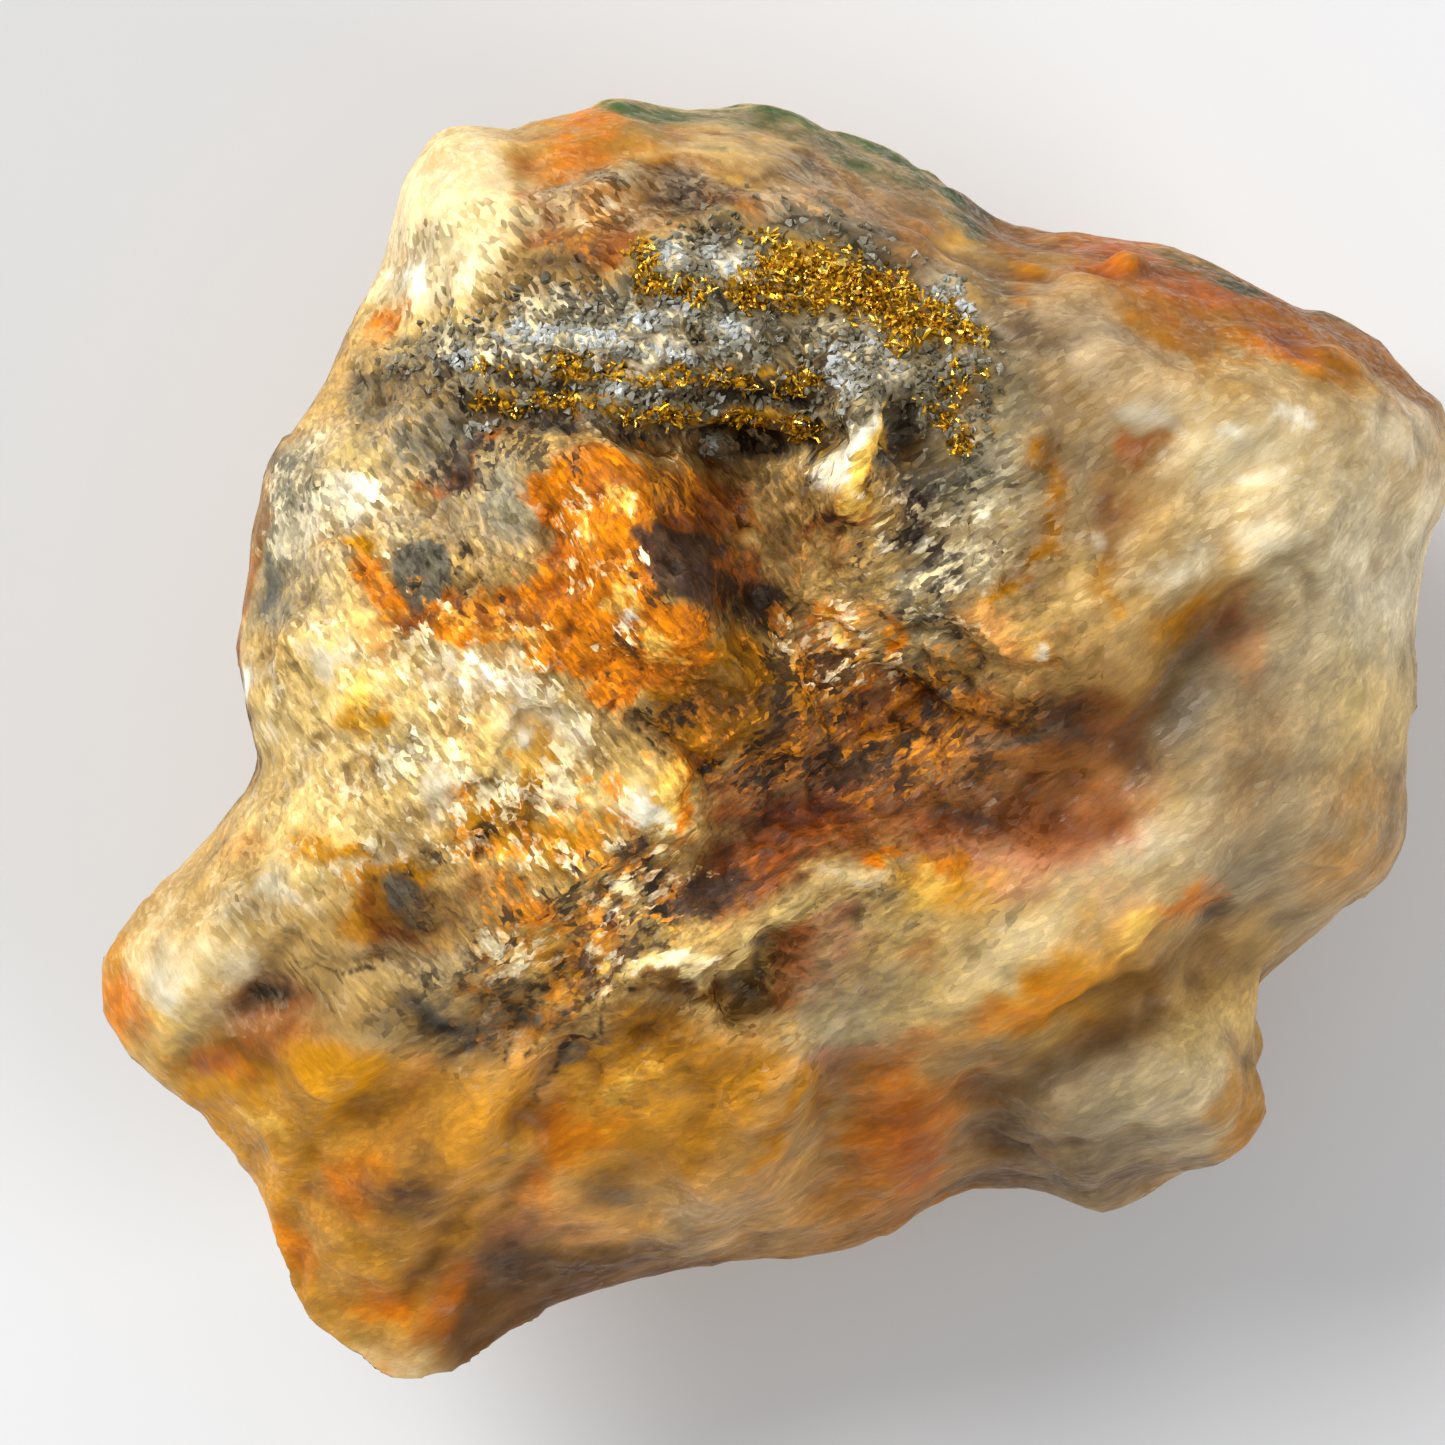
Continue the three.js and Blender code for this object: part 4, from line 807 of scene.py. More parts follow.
        blot(-1.4, 10.9, 2.6, 0.5, -4, 0.8), blot(-6.6, 10.2, 2.6, 0.5, -3, 0.8), blot(-1.6, 9.8, 2.6, 0.5, -5, 0.8),
        blot(4.9, 9.9, 0.8, 1.4, 0, 0.8), blot(-16.4, -9.2, 1.2, 0.4, -10),
        streak(0.35, [(-15.9, 0.0), (-16.5, 2.4), (-16.4, 5.0), (-15.6, 7.4), (-14.6, 9.2)], 0.6),
        blot(-3.0, -0.1, 0.4, 0.4),
    ],
    "ash": [
        blot(-13.5, -15.9, 0.8, 1.0, -30, 0.7), streak(0.5, [(-3.0, -14.9), (-1.2, -13.4), (0.6, -11.6)], 0.5),
        blot(1.4, -8.9, 2.0, 0.6, 10, 0.6), blot(-12.2, -8.6, 1.0, 0.5, 30, 0.5),
        blot(2.4, -7.4, 2.2, 1.6, 10, 0.55), blot(2.2, -5.2, 1.8, 0.9, 20, 0.4),
        blot(8.6, -12.4, 2.2, 1.6, 0, 0.4), blot(13.2, -3.4, 2.0, 1.4, 30, 0.4),
        field(0.5, [(-13.4, 10.6), (-11.4, 12.0), (-8.6, 13.2), (-5.4, 13.6), (-3.6, 15.4), (-0.6, 15.9),
                    (2.4, 15.4), (5.2, 14.0), (7.0, 12.6), (7.4, 10.6), (6.6, 8.6), (4.6, 8.2), (3.2, 9.4),
                    (0.6, 8.8), (-3.2, 8.9), (-6.4, 9.2), (-9.4, 9.2), (-12.6, 9.6)], 0.7),
        blot(5.4, 8.0, 1.8, 1.8, 0, 0.7), blot(-9.6, 9.2, 2.6, 0.8, 10, 0.7), blot(7.6, 12.6, 1.8, 0.9, -30, 0.6),
        blot(1.2, 15.6, 2.4, 0.6, -20), blot(-14.9, 6.6, 1.0, 2.2, -8), blot(-7.8, 7.0, 1.6, 1.2, -20, 0.8),
        blot(-1.2, 13.4, 2.2, 1.4, -15, 0.8), blot(4.4, 4.6, 1.6, 2.6, 0, 0.6), blot(8.8, 8.0, 1.0, 1.8, 0, 0.5),
        blot(-16.6, -5.8, 1.4, 1.2, -20, 0.3), blot(-11.4, -0.4, 1.2, 1.0, 0, 0.5), blot(12.4, 0.8, 2.4, 1.2, 40, 0.7),
    ],
    # Painted shade: broad darkening along the rims and over slopes and valleys that face away from the window.
    "gloom": [
        blot(12.2, 1.6, 2.6, 2.4, 30, 0.8), blot(3.8, -12.2, 2.4, 2.0, 0, 0.9), blot(-19.0, -5.0, 1.4, 1.8, 0, 0.4),
        streak(1.5, [(-9.6, -18.4), (-5.0, -16.4), (0.0, -15.6), (4.4, -14.2), (7.2, -12.6), (10.0, -13.2), (13.6, -13.2)]),
        streak(1.3, [(14.8, -12.6), (15.0, -9.6), (16.6, -5.6), (19.0, -3.0), (20.0, 1.6)], 0.7),
        streak(1.4, [(6.0, 16.0), (9.6, 14.8), (14.0, 13.4), (18.0, 12.0), (20.4, 10.4)]),
        field(1.2, [(-14.6, -12.0), (-10.0, -10.4), (-7.2, -13.0), (-10.8, -15.4), (-13.6, -15.8)], 0.2),
        field(1.2, [(0.8, -9.0), (4.8, -9.4), (5.0, -13.6), (1.4, -14.4)], 0.6), blot(-0.5, 4.2, 1.4, 1.1, 0, 0.9),
        field(1.6, [(8.0, 14.6), (14.0, 13.2), (20.0, 11.0), (20.0, 8.0), (14.0, 9.6), (9.0, 11.0)], 0.45),
        field(1.4, [(5.2, -8.6), (9.0, -9.2), (9.4, -13.4), (5.4, -13.6)], 0.7),
        field(1.4, [(5.5, 15.4), (8.0, 15.4), (13.0, 14.8), (20.5, 11.8), (19.0, 10.8), (13.6, 11.4), (11.4, 9.6),
                    (12.0, 7.4), (10.4, 4.4), (7.4, 4.8), (7.4, 8.0), (6.6, 12.0)], 0.75),
        field(1.4, [(-4.0, -13.0), (0.0, -9.4), (5.0, -9.0), (8.0, -12.0), (14.4, -12.0), (14.6, -14.6), (8.0, -15.6),
                    (-2.0, -17.0)], 0.5),
        field(1.2, [(13.0, -0.6), (16.0, 1.0), (19.6, 2.0), (19.4, -2.4), (16.0, -5.6), (13.0, -4.4)], 0.35),
        blot(0.6, 6.6, 2.0, 2.0, 0, 0.5), blot(-11.0, 10.6, 2.4, 1.2, 0, 0.45), blot(-13.4, -8.4, 2.6, 1.0, 0, 0.3),
        blot(-1.5, 17.6, 4.5, 1.3, -5, 0.8), blot(4.2, 15.4, 2.4, 1.5, -32), blot(8.6, 14.4, 2.8, 1.1, -15, 0.8),
        blot(13.5, 13.4, 3.0, 1.0, -15, 0.6), blot(14.2, -11.2, 1.0, 1.6, 0, 0.7), blot(0.6, -2.6, 2.8, 1.7, 10), blot(5.5, -2.0, 3.4, 1.1, 5, 0.8),
        blot(-11.0, -5.2, 2.2, 1.2, 0, 0.8), blot(-2.5, -3.8, 2.4, 1.1, 10, 0.7), blot(-8.0, -15.8, 4.0, 1.4, 5, 0.8),
        blot(-9.0, -17.8, 1.6, 1.0, 0, 0.6), blot(5.4, -11.5, 1.4, 2.8, 0, 0.8), blot(-0.9, 4.2, 1.6, 1.4, 0, 0.7),
        blot(-2.5, 7.0, 1.3, 1.5, 20, 0.8), blot(2.6, 1.0, 3.0, 1.4, 0, 0.6), blot(8.6, 1.6, 3.4, 2.4, 15, 0.7),
        blot(11.0, -7.4, 3.0, 1.2, 30, 0.6), blot(-2.4, 1.0, 1.8, 1.6, 0, 0.6), blot(-7.5, -8.4, 4.0, 0.9, 0, 0.5),
        blot(-3.0, -9.2, 2.0, 1.2, 0, 0.5), blot(4.0, 7.4, 1.3, 2.2, 0, 0.6), blot(-5.0, 9.3, 5.0, 0.7, 0, 0.6),
        blot(-6.6, 14.2, 2.0, 1.0, 10, 0.5), blot(7.4, 11.4, 1.6, 1.6, -30, 0.5), blot(5.6, 3.4, 1.4, 1.2, 0, 0.4),
    ],
    "slate": [
        field(0.3, [(-11.4, 5.7), (-10.6, 5.9), (-10.0, 5.0), (-10.2, 4.2), (-11.1, 3.9), (-11.8, 4.6)]), blot(-11.2, -4.3, 0.75, 0.4, -40),
        blot(12.4, 2.2, 1.5, 0.7, 42, 0.5), blot(11.1, 0.1, 1.0, 0.8, 40, 0.5),
        blot(5.2, 8.0, 1.4, 1.2, 0, 0.7), blot(-10.4, -7.9, 0.9, 0.4, -20), blot(-9.1, -8.4, 0.9, 0.5, -8),
        blot(-7.3, -8.2, 0.6, 0.6, 40), blot(-6.2, -9.2, 0.5, 0.3, 30, 0.8), blot(-4.8, -13.3, 0.5, 0.3, -20, 0.5),
        blot(-1.2, -7.0, 0.7, 0.5, 0, 0.65), blot(-0.6, -6.2, 0.3, 0.6, -30, 0.7), blot(-9.0, 11.6, 3.0, 0.5, -4, 0.5),
        blot(-11.8, 11.2, 1.2, 0.5, -20, 0.5), blot(-6.0, 13.2, 1.8, 0.45, 5, 0.5), blot(-1.6, 13.5, 1.8, 0.4, -8, 0.5),
        blot(1.8, 11.6, 1.8, 1.0, -10, 0.4), blot(4.0, 10.4, 1.2, 1.0, 0, 0.55), blot(-9.4, 9.3, 2.2, 0.6, 5, 0.5),
        blot(3.6, 9.4, 0.8, 0.8), blot(6.8, 10.8, 1.4, 0.8, -30, 0.45), blot(4.6, 0.9, 1.6, 0.3, 24, 0.8),
        blot(7.2, 0.1, 1.6, 0.4, 5, 0.8), blot(-12.4, -8.0, 0.6, 0.3, 0, 0.5), blot(-6.8, 16.8, 0.5, 0.35),
        blot(-14.9, 8.0, 0.5, 0.8, -20, 0.7), blot(-15.3, 5.0, 0.4, 1.6, 5, 0.7), blot(2.2, 14.8, 2.4, 0.5, -22, 0.6),
    ],
    # Black stain, and painted shadow in the cracks, the pin hole, the deep valley and under the gold strands.
    "soot": [
        blot(-0.5, 4.2, 1.05, 0.8, -20, 0.97), blot(0.0, 3.3, 0.5, 0.6, 10, 0.8), blot(-8.9, -3.05, 0.36, 0.36), blot(-2.2, -0.6, 0.24, 0.24),
        blot(3.2, 2.0, 0.5, 0.3, -15, 0.8), blot(3.4, 0.4, 1.2, 0.2, 28, 0.7), blot(0.3, -0.6, 0.9, 0.22, 20, 0.7),
        blot(4.6, 1.2, 0.9, 0.14, 20, 0.6), blot(2.0, 1.5, 0.7, 0.12, 30, 0.6), blot(1.0, 3.0, 0.3, 0.2, 30, 0.7),
        blot(5.6, 0.3, 1.2, 0.12, 14, 0.6), blot(2.6, -0.4, 1.3, 0.14, 18, 0.6), streak(0.09, [(-4.2, 0.65), (-3.5, 0.15), (-3.0, 0.0), (-2.6, -0.4), (-2.0, -0.75)]),
        streak(0.2, [(-9.2, 9.9), (-6.2, 9.5), (-4.0, 9.3), (-2.6, 9.2), (-0.6, 9.2), (1.2, 9.2)], 0.5),
        streak(0.2, [(-8.0, 10.95), (-6.0, 10.75), (-3.5, 10.45), (-1.0, 10.4), (0.8, 10.1)]),
        streak(0.2, [(-0.4, 15.7), (1.6, 15.1), (3.4, 14.1), (5.0, 13.1), (6.4, 12.0)], 0.9),
        streak(0.16, [(-2.6, 15.4), (-1.6, 15.3), (-0.6, 15.0)], 0.8), blot(3.4, 9.6, 0.3, 0.4, 0, 0.5),
        streak(0.07, [(-14.2, -6.6), (-13.6, -6.75), (-12.8, -6.5), (-11.8, -6.3)], 0.8),
        streak(0.07, [(-6.5, -8.2), (-7.4, -10.2), (-8.3, -12.0), (-8.9, -13.1), (-10.2, -15.0)], 0.35),
        streak(0.1, [(-8.7, -9.3), (-7.5, -7.7), (-6.4, -6.3)]), streak(0.1, [(-7.8, -9.6), (-6.4, -7.8), (-5.3, -6.8)]),
        streak(0.1, [(-7.2, -10.4), (-6.2, -8.8), (-4.8, -7.5), (-3.4, -7.3)], 0.9), streak(0.1, [(-9.8, -8.8), (-8.6, -7.4)], 0.9),
        blot(-15.3, -7.3, 0.5, 0.3, -20, 0.8), blot(1.0, 6.55, 0.3, 0.2), blot(1.7, 6.4, 0.2, 0.15),
        blot(-8.2, -8.6, 0.4, 0.25, 20), blot(-10.2, -8.1, 0.35, 0.2),
        blot(4.9, 11.0, 0.4, 0.3), blot(6.9, 0.0, 0.7, 0.15, 8, 0.8), blot(-11.0, 11.0, 1.2, 0.22, -8, 0.8),
    ],
    "ember": [
        field(0.8, [(-9.4, -0.6), (-6.4, 0.2), (-4.0, -1.6), (-4.4, -3.6), (-7.4, -3.8), (-9.8, -3.4)], 0.4),
        field(0.8, [(-1.6, 1.0), (0.6, 3.8), (3.0, 4.0), (5.6, 2.4), (8.0, 1.6), (6.0, -0.8), (2.0, -1.6), (-1.0, -1.0)], 0.34),
        field(0.8, [(-9.5, -7.6), (-8.0, -4.6), (-5.0, -3.4), (-2.6, -5.2), (-4.6, -7.2), (-7.0, -9.0), (-9.0, -9.6)], 0.42),
        blot(-5.5, -6.0, 1.0, 1.2, 50, 0.5), blot(-7.3, -5.3, 0.8, 0.6, 0, 0.55), blot(-3.9, -4.4, 1.2, 0.6, 30, 0.5),
        blot(-5.4, 16.0, 2.0, 1.2, 0, 0.4), blot(-0.4, 16.4, 2.6, 0.7, -10, 0.36), blot(3.6, 15.6, 2.0, 0.8, -30, 0.36),
        blot(-9.0, 3.8, 2.6, 0.7, -14, 0.4), blot(-3.6, 8.0, 1.2, 0.9, 20, 0.4), blot(-2.4, 1.4, 1.8, 1.8, 0, 0.38),
    ],
    "pepper": [
        field(0.8, [(-1.4, 0.4), (0.2, 3.4), (2.6, 3.2), (5.4, 2.2), (8.4, 1.6), (7.6, -0.8), (3.0, -1.4), (-0.6, -1.6)], 0.46),
        field(0.8, [(-11.6, -7.4), (-9.6, -6.4), (-6.0, -3.6), (-2.6, -3.6), (-2.4, -5.4), (-5.4, -7.6), (-8.4, -9.4),
                    (-11.4, -9.0)], 0.42),
        blot(-5.6, 16.4, 2.4, 1.0, 0, 0.36), blot(-0.6, 16.4, 3.0, 0.7, -8, 0.34), blot(-2.0, 11.0, 7.0, 0.5, -3, 0.4),
        blot(-3.0, 9.7, 6.4, 0.4, -4, 0.42), blot(-2.6, 13.6, 3.4, 0.6, 0, 0.36), blot(2.0, 11.4, 3.0, 2.0, 0, 0.34),
        blot(5.0, 10.6, 1.8, 2.2, 0, 0.42), blot(-9.8, 11.2, 3.0, 1.0, 0, 0.36), blot(3.0, 13.4, 3.6, 0.7, -28, 0.4),
        blot(2.6, 14.9, 3.0, 0.5, -24, 0.46), blot(5.0, 6.4, 2.0, 2.4, 0, 0.34), blot(-4.2, 2.4, 2.0, 0.8, -48, 0.36),
        blot(-3.6, 4.6, 1.4, 0.6, -40, 0.36), blot(-11.6, -4.4, 1.8, 1.4, 0, 0.36),
        blot(-15.2, -7.6, 1.4, 0.9, 0, 0.38), blot(-10.2, 5.2, 1.6, 0.5, -30, 0.32), blot(-8.6, 8.4, 2.4, 0.6, 10, 0.34),
    ],
    # Pale crystal flecks, partly painted glints.
    "spark": [
        field(1.0, [(-15.0, 3.4), (-12.0, 3.4), (-9.0, 2.8), (-5.8, 1.2), (-4.4, -1.4), (-4.6, -3.2), (-7.6, -3.8),
                    (-11.6, -2.2), (-14.4, -3.4), (-15.8, -1.0)], 0.24),
        blot(-4.6, -2.4, 1.2, 1.2, -40, 0.5), blot(-11.0, 15.4, 2.4, 3.0, 0, 0.32), blot(-9.0, 12.6, 2.6, 1.0, 0, 0.38),
        blot(-4.6, 12.4, 4.6, 0.8, 0, 0.4), blot(1.4, 11.8, 2.6, 0.8, -10, 0.4), blot(-1.6, 14.4, 2.0, 0.5, -20, 0.45),
        blot(-3.4, 9.0, 2.6, 0.4, 0, 0.32), blot(6.4, 6.6, 3.0, 2.4, 0, 0.32), blot(9.6, 9.6, 3.4, 2.4, 0, 0.34),
        blot(-5.6, 5.4, 1.0, 2.4, 20, 0.1), blot(-9.0, 3.6, 2.4, 0.5, -14, 0.24), blot(-13.6, 7.2, 2.0, 1.6, 0, 0.36),
        blot(-17.4, -6.2, 1.8, 1.6, 0, 0.38), blot(-5.4, 16.4, 2.4, 1.0, 0, 0.34), blot(-0.4, 16.8, 3.0, 0.7, -8, 0.34),
        blot(-7.0, -6.4, 2.4, 1.4, 45, 0.24), blot(-3.0, -6.7, 2.0, 0.3, 15, 0.4), blot(2.0, 2.8, 1.6, 1.2, 30, 0.3),
        blot(-4.0, -4.4, 1.6, 0.8, 0, 0.26), blot(-12.6, -3.0, 2.6, 1.0, 30, 0.34),
    ],
    "mustard": [
        blot(14.2, -11.2, 0.8, 1.4, 0, 0.55),
        field(0.3, [(-0.5, 15.0), (0.3, 15.1), (1.7, 14.4), (3.1, 13.6), (4.5, 13.0), (5.7, 12.3), (5.4, 11.8),
                    (4.0, 12.2), (2.6, 13.0), (0.8, 13.1), (-0.6, 13.3), (-1.3, 13.7), (-1.0, 14.4)]),
        streak(0.3, [(-4.3, 15.0), (-4.2, 14.2), (-3.6, 13.7), (-2.5, 13.6)], 0.9),
        streak(0.22, [(-9.2, 10.35), (-7.2, 10.3), (-4.6, 10.0), (-3.0, 9.9), (-1.0, 9.8), (0.9, 9.5)], 0.8),
        streak(0.22, [(-7.0, 11.4), (-5.0, 11.15), (-3.0, 11.0), (-1.0, 10.9), (1.0, 10.8)], 0.7),
        blot(5.4, 9.2, 0.5, 0.4, 0, 0.8), blot(4.9, 10.0, 0.4, 0.6, 0, 0.5), blot(5.2, 10.7, 0.4, 0.3, 0, 0.6),
    ],
    "moss": [
        streak(0.7, [(-4.7, 19.6), (-2.4, 19.3), (-0.6, 19.1), (1.0, 18.7), (2.5, 18.1), (3.6, 17.6),
                      (4.8, 16.9), (5.8, 16.1)]),
        streak(0.3, [(11.6, 14.8), (13.4, 14.2), (15.6, 13.4), (17.4, 12.8)], 0.9),
    ],
    # Painted highlights on the lit sides of ridges, and some bright yellow stain.
    "honey": [
        blot(-4.7, -10.3, 0.4, 0.6, 0, 0.6), blot(-15.4, -11.4, 0.8, 0.3, -40, 0.6), blot(-5.3, -6.5, 0.35, 0.4, 0, 0.8),
        blot(-5.3, 5.0, 0.25, 0.9, 20, 0.45), blot(-4.7, 4.4, 0.4, 0.5, 20, 0.5), blot(-6.4, 6.6, 0.22, 1.0, 10, 0.45),
        blot(-4.8, 7.2, 0.3, 0.5, 20, 0.9), blot(-3.3, -1.3, 0.55, 1.5, -8), blot(-3.9, 3.3, 0.4, 1.0, 35, 0.8),
        blot(4.5, -4.2, 0.8, 0.5), blot(10.6, -5.6, 0.8, 0.35, 35), blot(-18.6, -7.6, 0.7, 0.8, 0, 0.7),
        blot(-7.6, -0.1, 0.7, 0.7, -40, 0.8), blot(-12.9, 1.4, 0.6, 0.8, 0, 0.6), streak(0.25, [(2.8, 9.5), (2.8, 8.6), (2.4, 7.6), (2.0, 6.9)]),
        blot(-8.6, 3.4, 1.4, 0.25, -14, 0.7), blot(1.9, 3.5, 0.3, 0.5, 20, 0.9),
        blot(-3.4, -5.6, 1.2, 0.5, 20, 0.5), blot(5.2, 15.1, 0.5, 0.4, 0, 0.8),
        blot(-1.0, 17.0, 0.8, 0.3, -8, 0.7), blot(8.0, 3.0, 0.5, 0.3, 20, 0.8),
    ],
    # White flecks, and painted highlights and glints.
    "snow": [
        field(0.3, [(2.7, 10.0), (2.2, 9.3), (1.3, 8.9), (0.5, 8.5), (1.0, 7.9), (1.6, 7.3), (2.2, 7.6), (2.5, 8.8)], 0.75),
        blot(-4.8, 4.2, 0.3, 0.25, 0, 0.4), blot(-4.6, 7.1, 0.2, 0.35, 20, 0.4), blot(-8.4, 2.0, 1.2, 0.4, -35, 0.6),
        blot(-1.4, 14.6, 0.6, 0.35, -20), blot(-4.0, -2.4, 0.6, 0.4),
        blot(4.35, 5.75, 0.25, 0.16, 20), blot(6.2, 6.7, 0.3, 0.12, -10), blot(-7.9, 0.2, 0.4, 0.4, -40), blot(-8.05, -1.4, 0.22, 0.26),
        blot(9.1, 5.9, 0.25, 0.22), blot(15.3, 9.7, 0.4, 0.25), blot(13.7, 9.6, 0.35, 0.22),
        blot(10.9, 9.8, 0.5, 0.4), blot(-12.4, 7.6, 0.4, 0.35), blot(-15.9, 1.9, 0.3, 0.4),
        blot(-11.0, 13.9, 0.5, 0.35), blot(8.1, 3.0, 0.3, 0.15, 20), blot(-18.3, -7.2, 0.6, 0.5),
    ],
}
print({tone: len(shapes) for tone, shapes in STAINS.items()})

# %% Work out the masks
EDGE_IN, EDGE_OUT = 0.2, 1.65  # share of a blot's radius where it starts and stops fading
MASSIVE_BLUR = 0.45  # the same share, added where the stone is massive and stains soak in softly
FLANK_TONES = {  # size of the patches on the unseen sides, and the level they start at
    "rose": (3.6, 0.45), "sage": (7.0, 0.05), "cream": (5.0, 0.12), "milk": (4.0, 0.26), "peach": (3.4, 0.42),
    "ochre": (5.4, 0.18), "amber": (4.2, 0.40), "rust": (3.8, 0.38), "plum": (3.0, 0.46),
    "slate": (2.6, 0.50), "soot": (1.4, 0.62), "umber": (4.6, 0.40), "ash": (4.4, 0.30),
}


FLANK_DEPTH = 0.72  # how deep the stains are on the unseen sides, at most


def inside(place, outline):
    """True for each place that lies inside a closed outline."""
    within = np.zeros(len(place), bool)
    for (x1, y1), (x2, y2) in zip(outline, [*outline[1:], outline[0]]):
        crosses = (place[:, 1] > y1) != (place[:, 1] > y2)
        if y1 != y2:
            within ^= crosses & (place[:, 0] < x1 + (place[:, 1] - y1) * (x2 - x1) / (y2 - y1))
    return within


def mask_of(place, shapes):
    """The strongest of the shapes at each place. They blur where the stone is massive."""
    mask = np.zeros(len(place))
    blur = MASSIVE_BLUR * (1 - ramp(0.4, 0.8, crispness(place)))
    for kind, shape, strength in shapes:
        if kind == "blot":
            x, y, wide, tall, turn = shape
            angle = math.radians(turn)
            dx, dy = place[:, 0] - x, place[:, 1] - y
            along = (dx * math.cos(angle) + dy * math.sin(angle)) / wide
            across = (-dx * math.sin(angle) + dy * math.cos(angle)) / tall
            share = np.hypot(along, across)
        elif kind == "streak":
            width, path = shape
            share = off_path(place, path)[0] / width
        else:
            soft, outline = shape
            gap = off_path(place, [*outline, outline[0]])[0]
            share = 0.85 - np.where(inside(place, outline), gap, -gap) / soft
        mask = np.maximum(mask, strength * (1 - ramp(EDGE_IN - blur, EDGE_OUT + blur, share)))
    return mask


def write_mask(mesh, name, values):
    attribute = mesh.attributes.new(name, "FLOAT", "POINT")
    attribute.data.foreach_set("value", values.astype(np.float32))


WANDER = [(2.4, 0.7), (0.9, 0.4), (0.35, 0.16)]  # size and reach of the wander of stain edges, mm

points, normals = points_of(vein_quartz.data), normals_of(vein_quartz.data)
place = picture_place(points)
wandered = place.copy()
for number, (size, reach) in enumerate(WANDER):
    wandered[:, 0] += reach * rolling(points, size, 150 + number)
    wandered[:, 1] += reach * rolling(points, size, 160 + number)
facing = ramp(-0.4, 0.2, normals[:, 2])
masks = {}
for number, (tone, shapes) in enumerate(STAINS.items()):
    masks[tone] = facing * mask_of(wandered, shapes)
    if tone in FLANK_TONES:
        size, start = FLANK_TONES[tone]
        patches = ramp(start - 0.1, start + 0.3, rolling(points, size, 200 + number))
        masks[tone] = np.maximum(masks[tone], FLANK_DEPTH * (1 - facing) * patches)
masks["moss"] *= ramp(0.0, 0.3, normals[:, 2])  # the green film lies on the top of the rim only
for tone, values in masks.items():
    write_mask(vein_quartz.data, tone, values)

near, far = eased(vein_quartz.data, points, 6), eased(vein_quartz.data, points, 60)
dip = 0.5 * np.sum((near - points) * normals, axis=1)
dip += 0.5 * np.sum((far - near) * normals, axis=1)
# The material darkens the hollows as painted shade and lightens the crests as a painted highlight.
write_mask(vein_quartz.data, "hollow", ramp(0.0, 0.1, dip))
write_mask(vein_quartz.data, "crest", ramp(0.0, 0.1, -dip))
print("depth of the hollows:", np.round(np.percentile(dip, (5, 50, 95)), 3), "mm")
print("share of the skin that each tone covers:",
      {tone: round(float(np.mean(values > 0.5)), 3) for tone, values in masks.items()})

# %% [markdown]
# ## Shared effects
# Two effects serve more than one material, so they are node groups. The first breaks a soft
# mask into ragged stain edges. The second gives the small flat facets of broken crystal: each
# random cell leans its own way, so it catches the light on its own, and it has its own tone.

# %% Node groups
def new_group(name, inputs, outputs):
    """A shader node group with (name, type, default) inputs and (name, type) outputs."""
    group = bpy.data.node_groups.new(name, "ShaderNodeTree")
    for label, kind, default in inputs:
        socket = group.interface.new_socket(label, in_out="INPUT", socket_type=kind)
        if default is not None:
            socket.default_value = default
    for label, kind in outputs:
        group.interface.new_socket(label, in_out="OUTPUT", socket_type=kind)
    return group, group.nodes.new("NodeGroupInput"), group.nodes.new("NodeGroupOutput")


def plugged(tree, socket, value):
    """Sets a socket to a plain value, or links an output socket to it."""
    if isinstance(value, (int, float, tuple)):
        socket.default_value = value
    else:
        tree.links.new(value, socket)


def math_node(tree, operation, *values):
    """The result of a Math node. Each value is a number or an output socket."""
    node = tree.nodes.new("ShaderNodeMath")
    node.operation = operation
    for socket, value in zip(node.inputs, values):
        plugged(tree, socket, value)
    return node.outputs[0]


def vector_node(tree, operation, *values):
    node = tree.nodes.new("ShaderNodeVectorMath")
    node.operation = operation
    sockets = [socket for socket in node.inputs if socket.enabled]
    for socket, value in zip(sockets, values):
        plugged(tree, socket, value)
    return [socket for socket in node.outputs if socket.enabled][0]


def remapped(tree, value, old, new, smooth=False):
    """The value moved from one range to another, and held inside it."""
    node = tree.nodes.new("ShaderNodeMapRange")
    node.interpolation_type = "SMOOTHSTEP" if smooth else "LINEAR"
    for label, number in zip(("From Min", "From Max", "To Min", "To Max"), (*old, *new)):
        plugged(tree, node.inputs[label], number)
    plugged(tree, node.inputs["Value"], value)
    return node.outputs["Result"]


ragged_edge, start, end = new_group(
    "ragged_edge",
    [("Mask", "NodeSocketFloat", 0.0), ("Noise", "NodeSocketFloat", 0.5),
     ("Raggedness", "NodeSocketFloat", 1.0), ("Softness", "NodeSocketFloat", 0.3),
     ("Sharpness", "NodeSocketFloat", 1.0)],
    [("Cover", "NodeSocketFloat")])
swing = math_node(ragged_edge, "SUBTRACT", start.outputs["Noise"], 0.5)
swing = math_node(ragged_edge, "MULTIPLY", swing, start.outputs["Raggedness"])
swing = math_node(ragged_edge, "MULTIPLY", swing, remapped(ragged_edge, start.outputs["Sharpness"], (0.0, 1.0), (0.4, 1.0)))
swung = math_node(ragged_edge, "ADD", swing, start.outputs["Mask"])
softness = remapped(ragged_edge, start.outputs["Sharpness"], (0.0, 1.0), (0.52, start.outputs["Softness"]))
bottom = math_node(ragged_edge, "SUBTRACT", 0.5, softness)
top = math_node(ragged_edge, "ADD", 0.5, softness)
cover = remapped(ragged_edge, swung, (bottom, top), (0.0, 1.0), smooth=True)
present = math_node(ragged_edge, "GREATER_THAN", start.outputs["Mask"], 0.02)
ragged_edge.links.new(math_node(ragged_edge, "MULTIPLY", cover, present), end.inputs["Cover"])

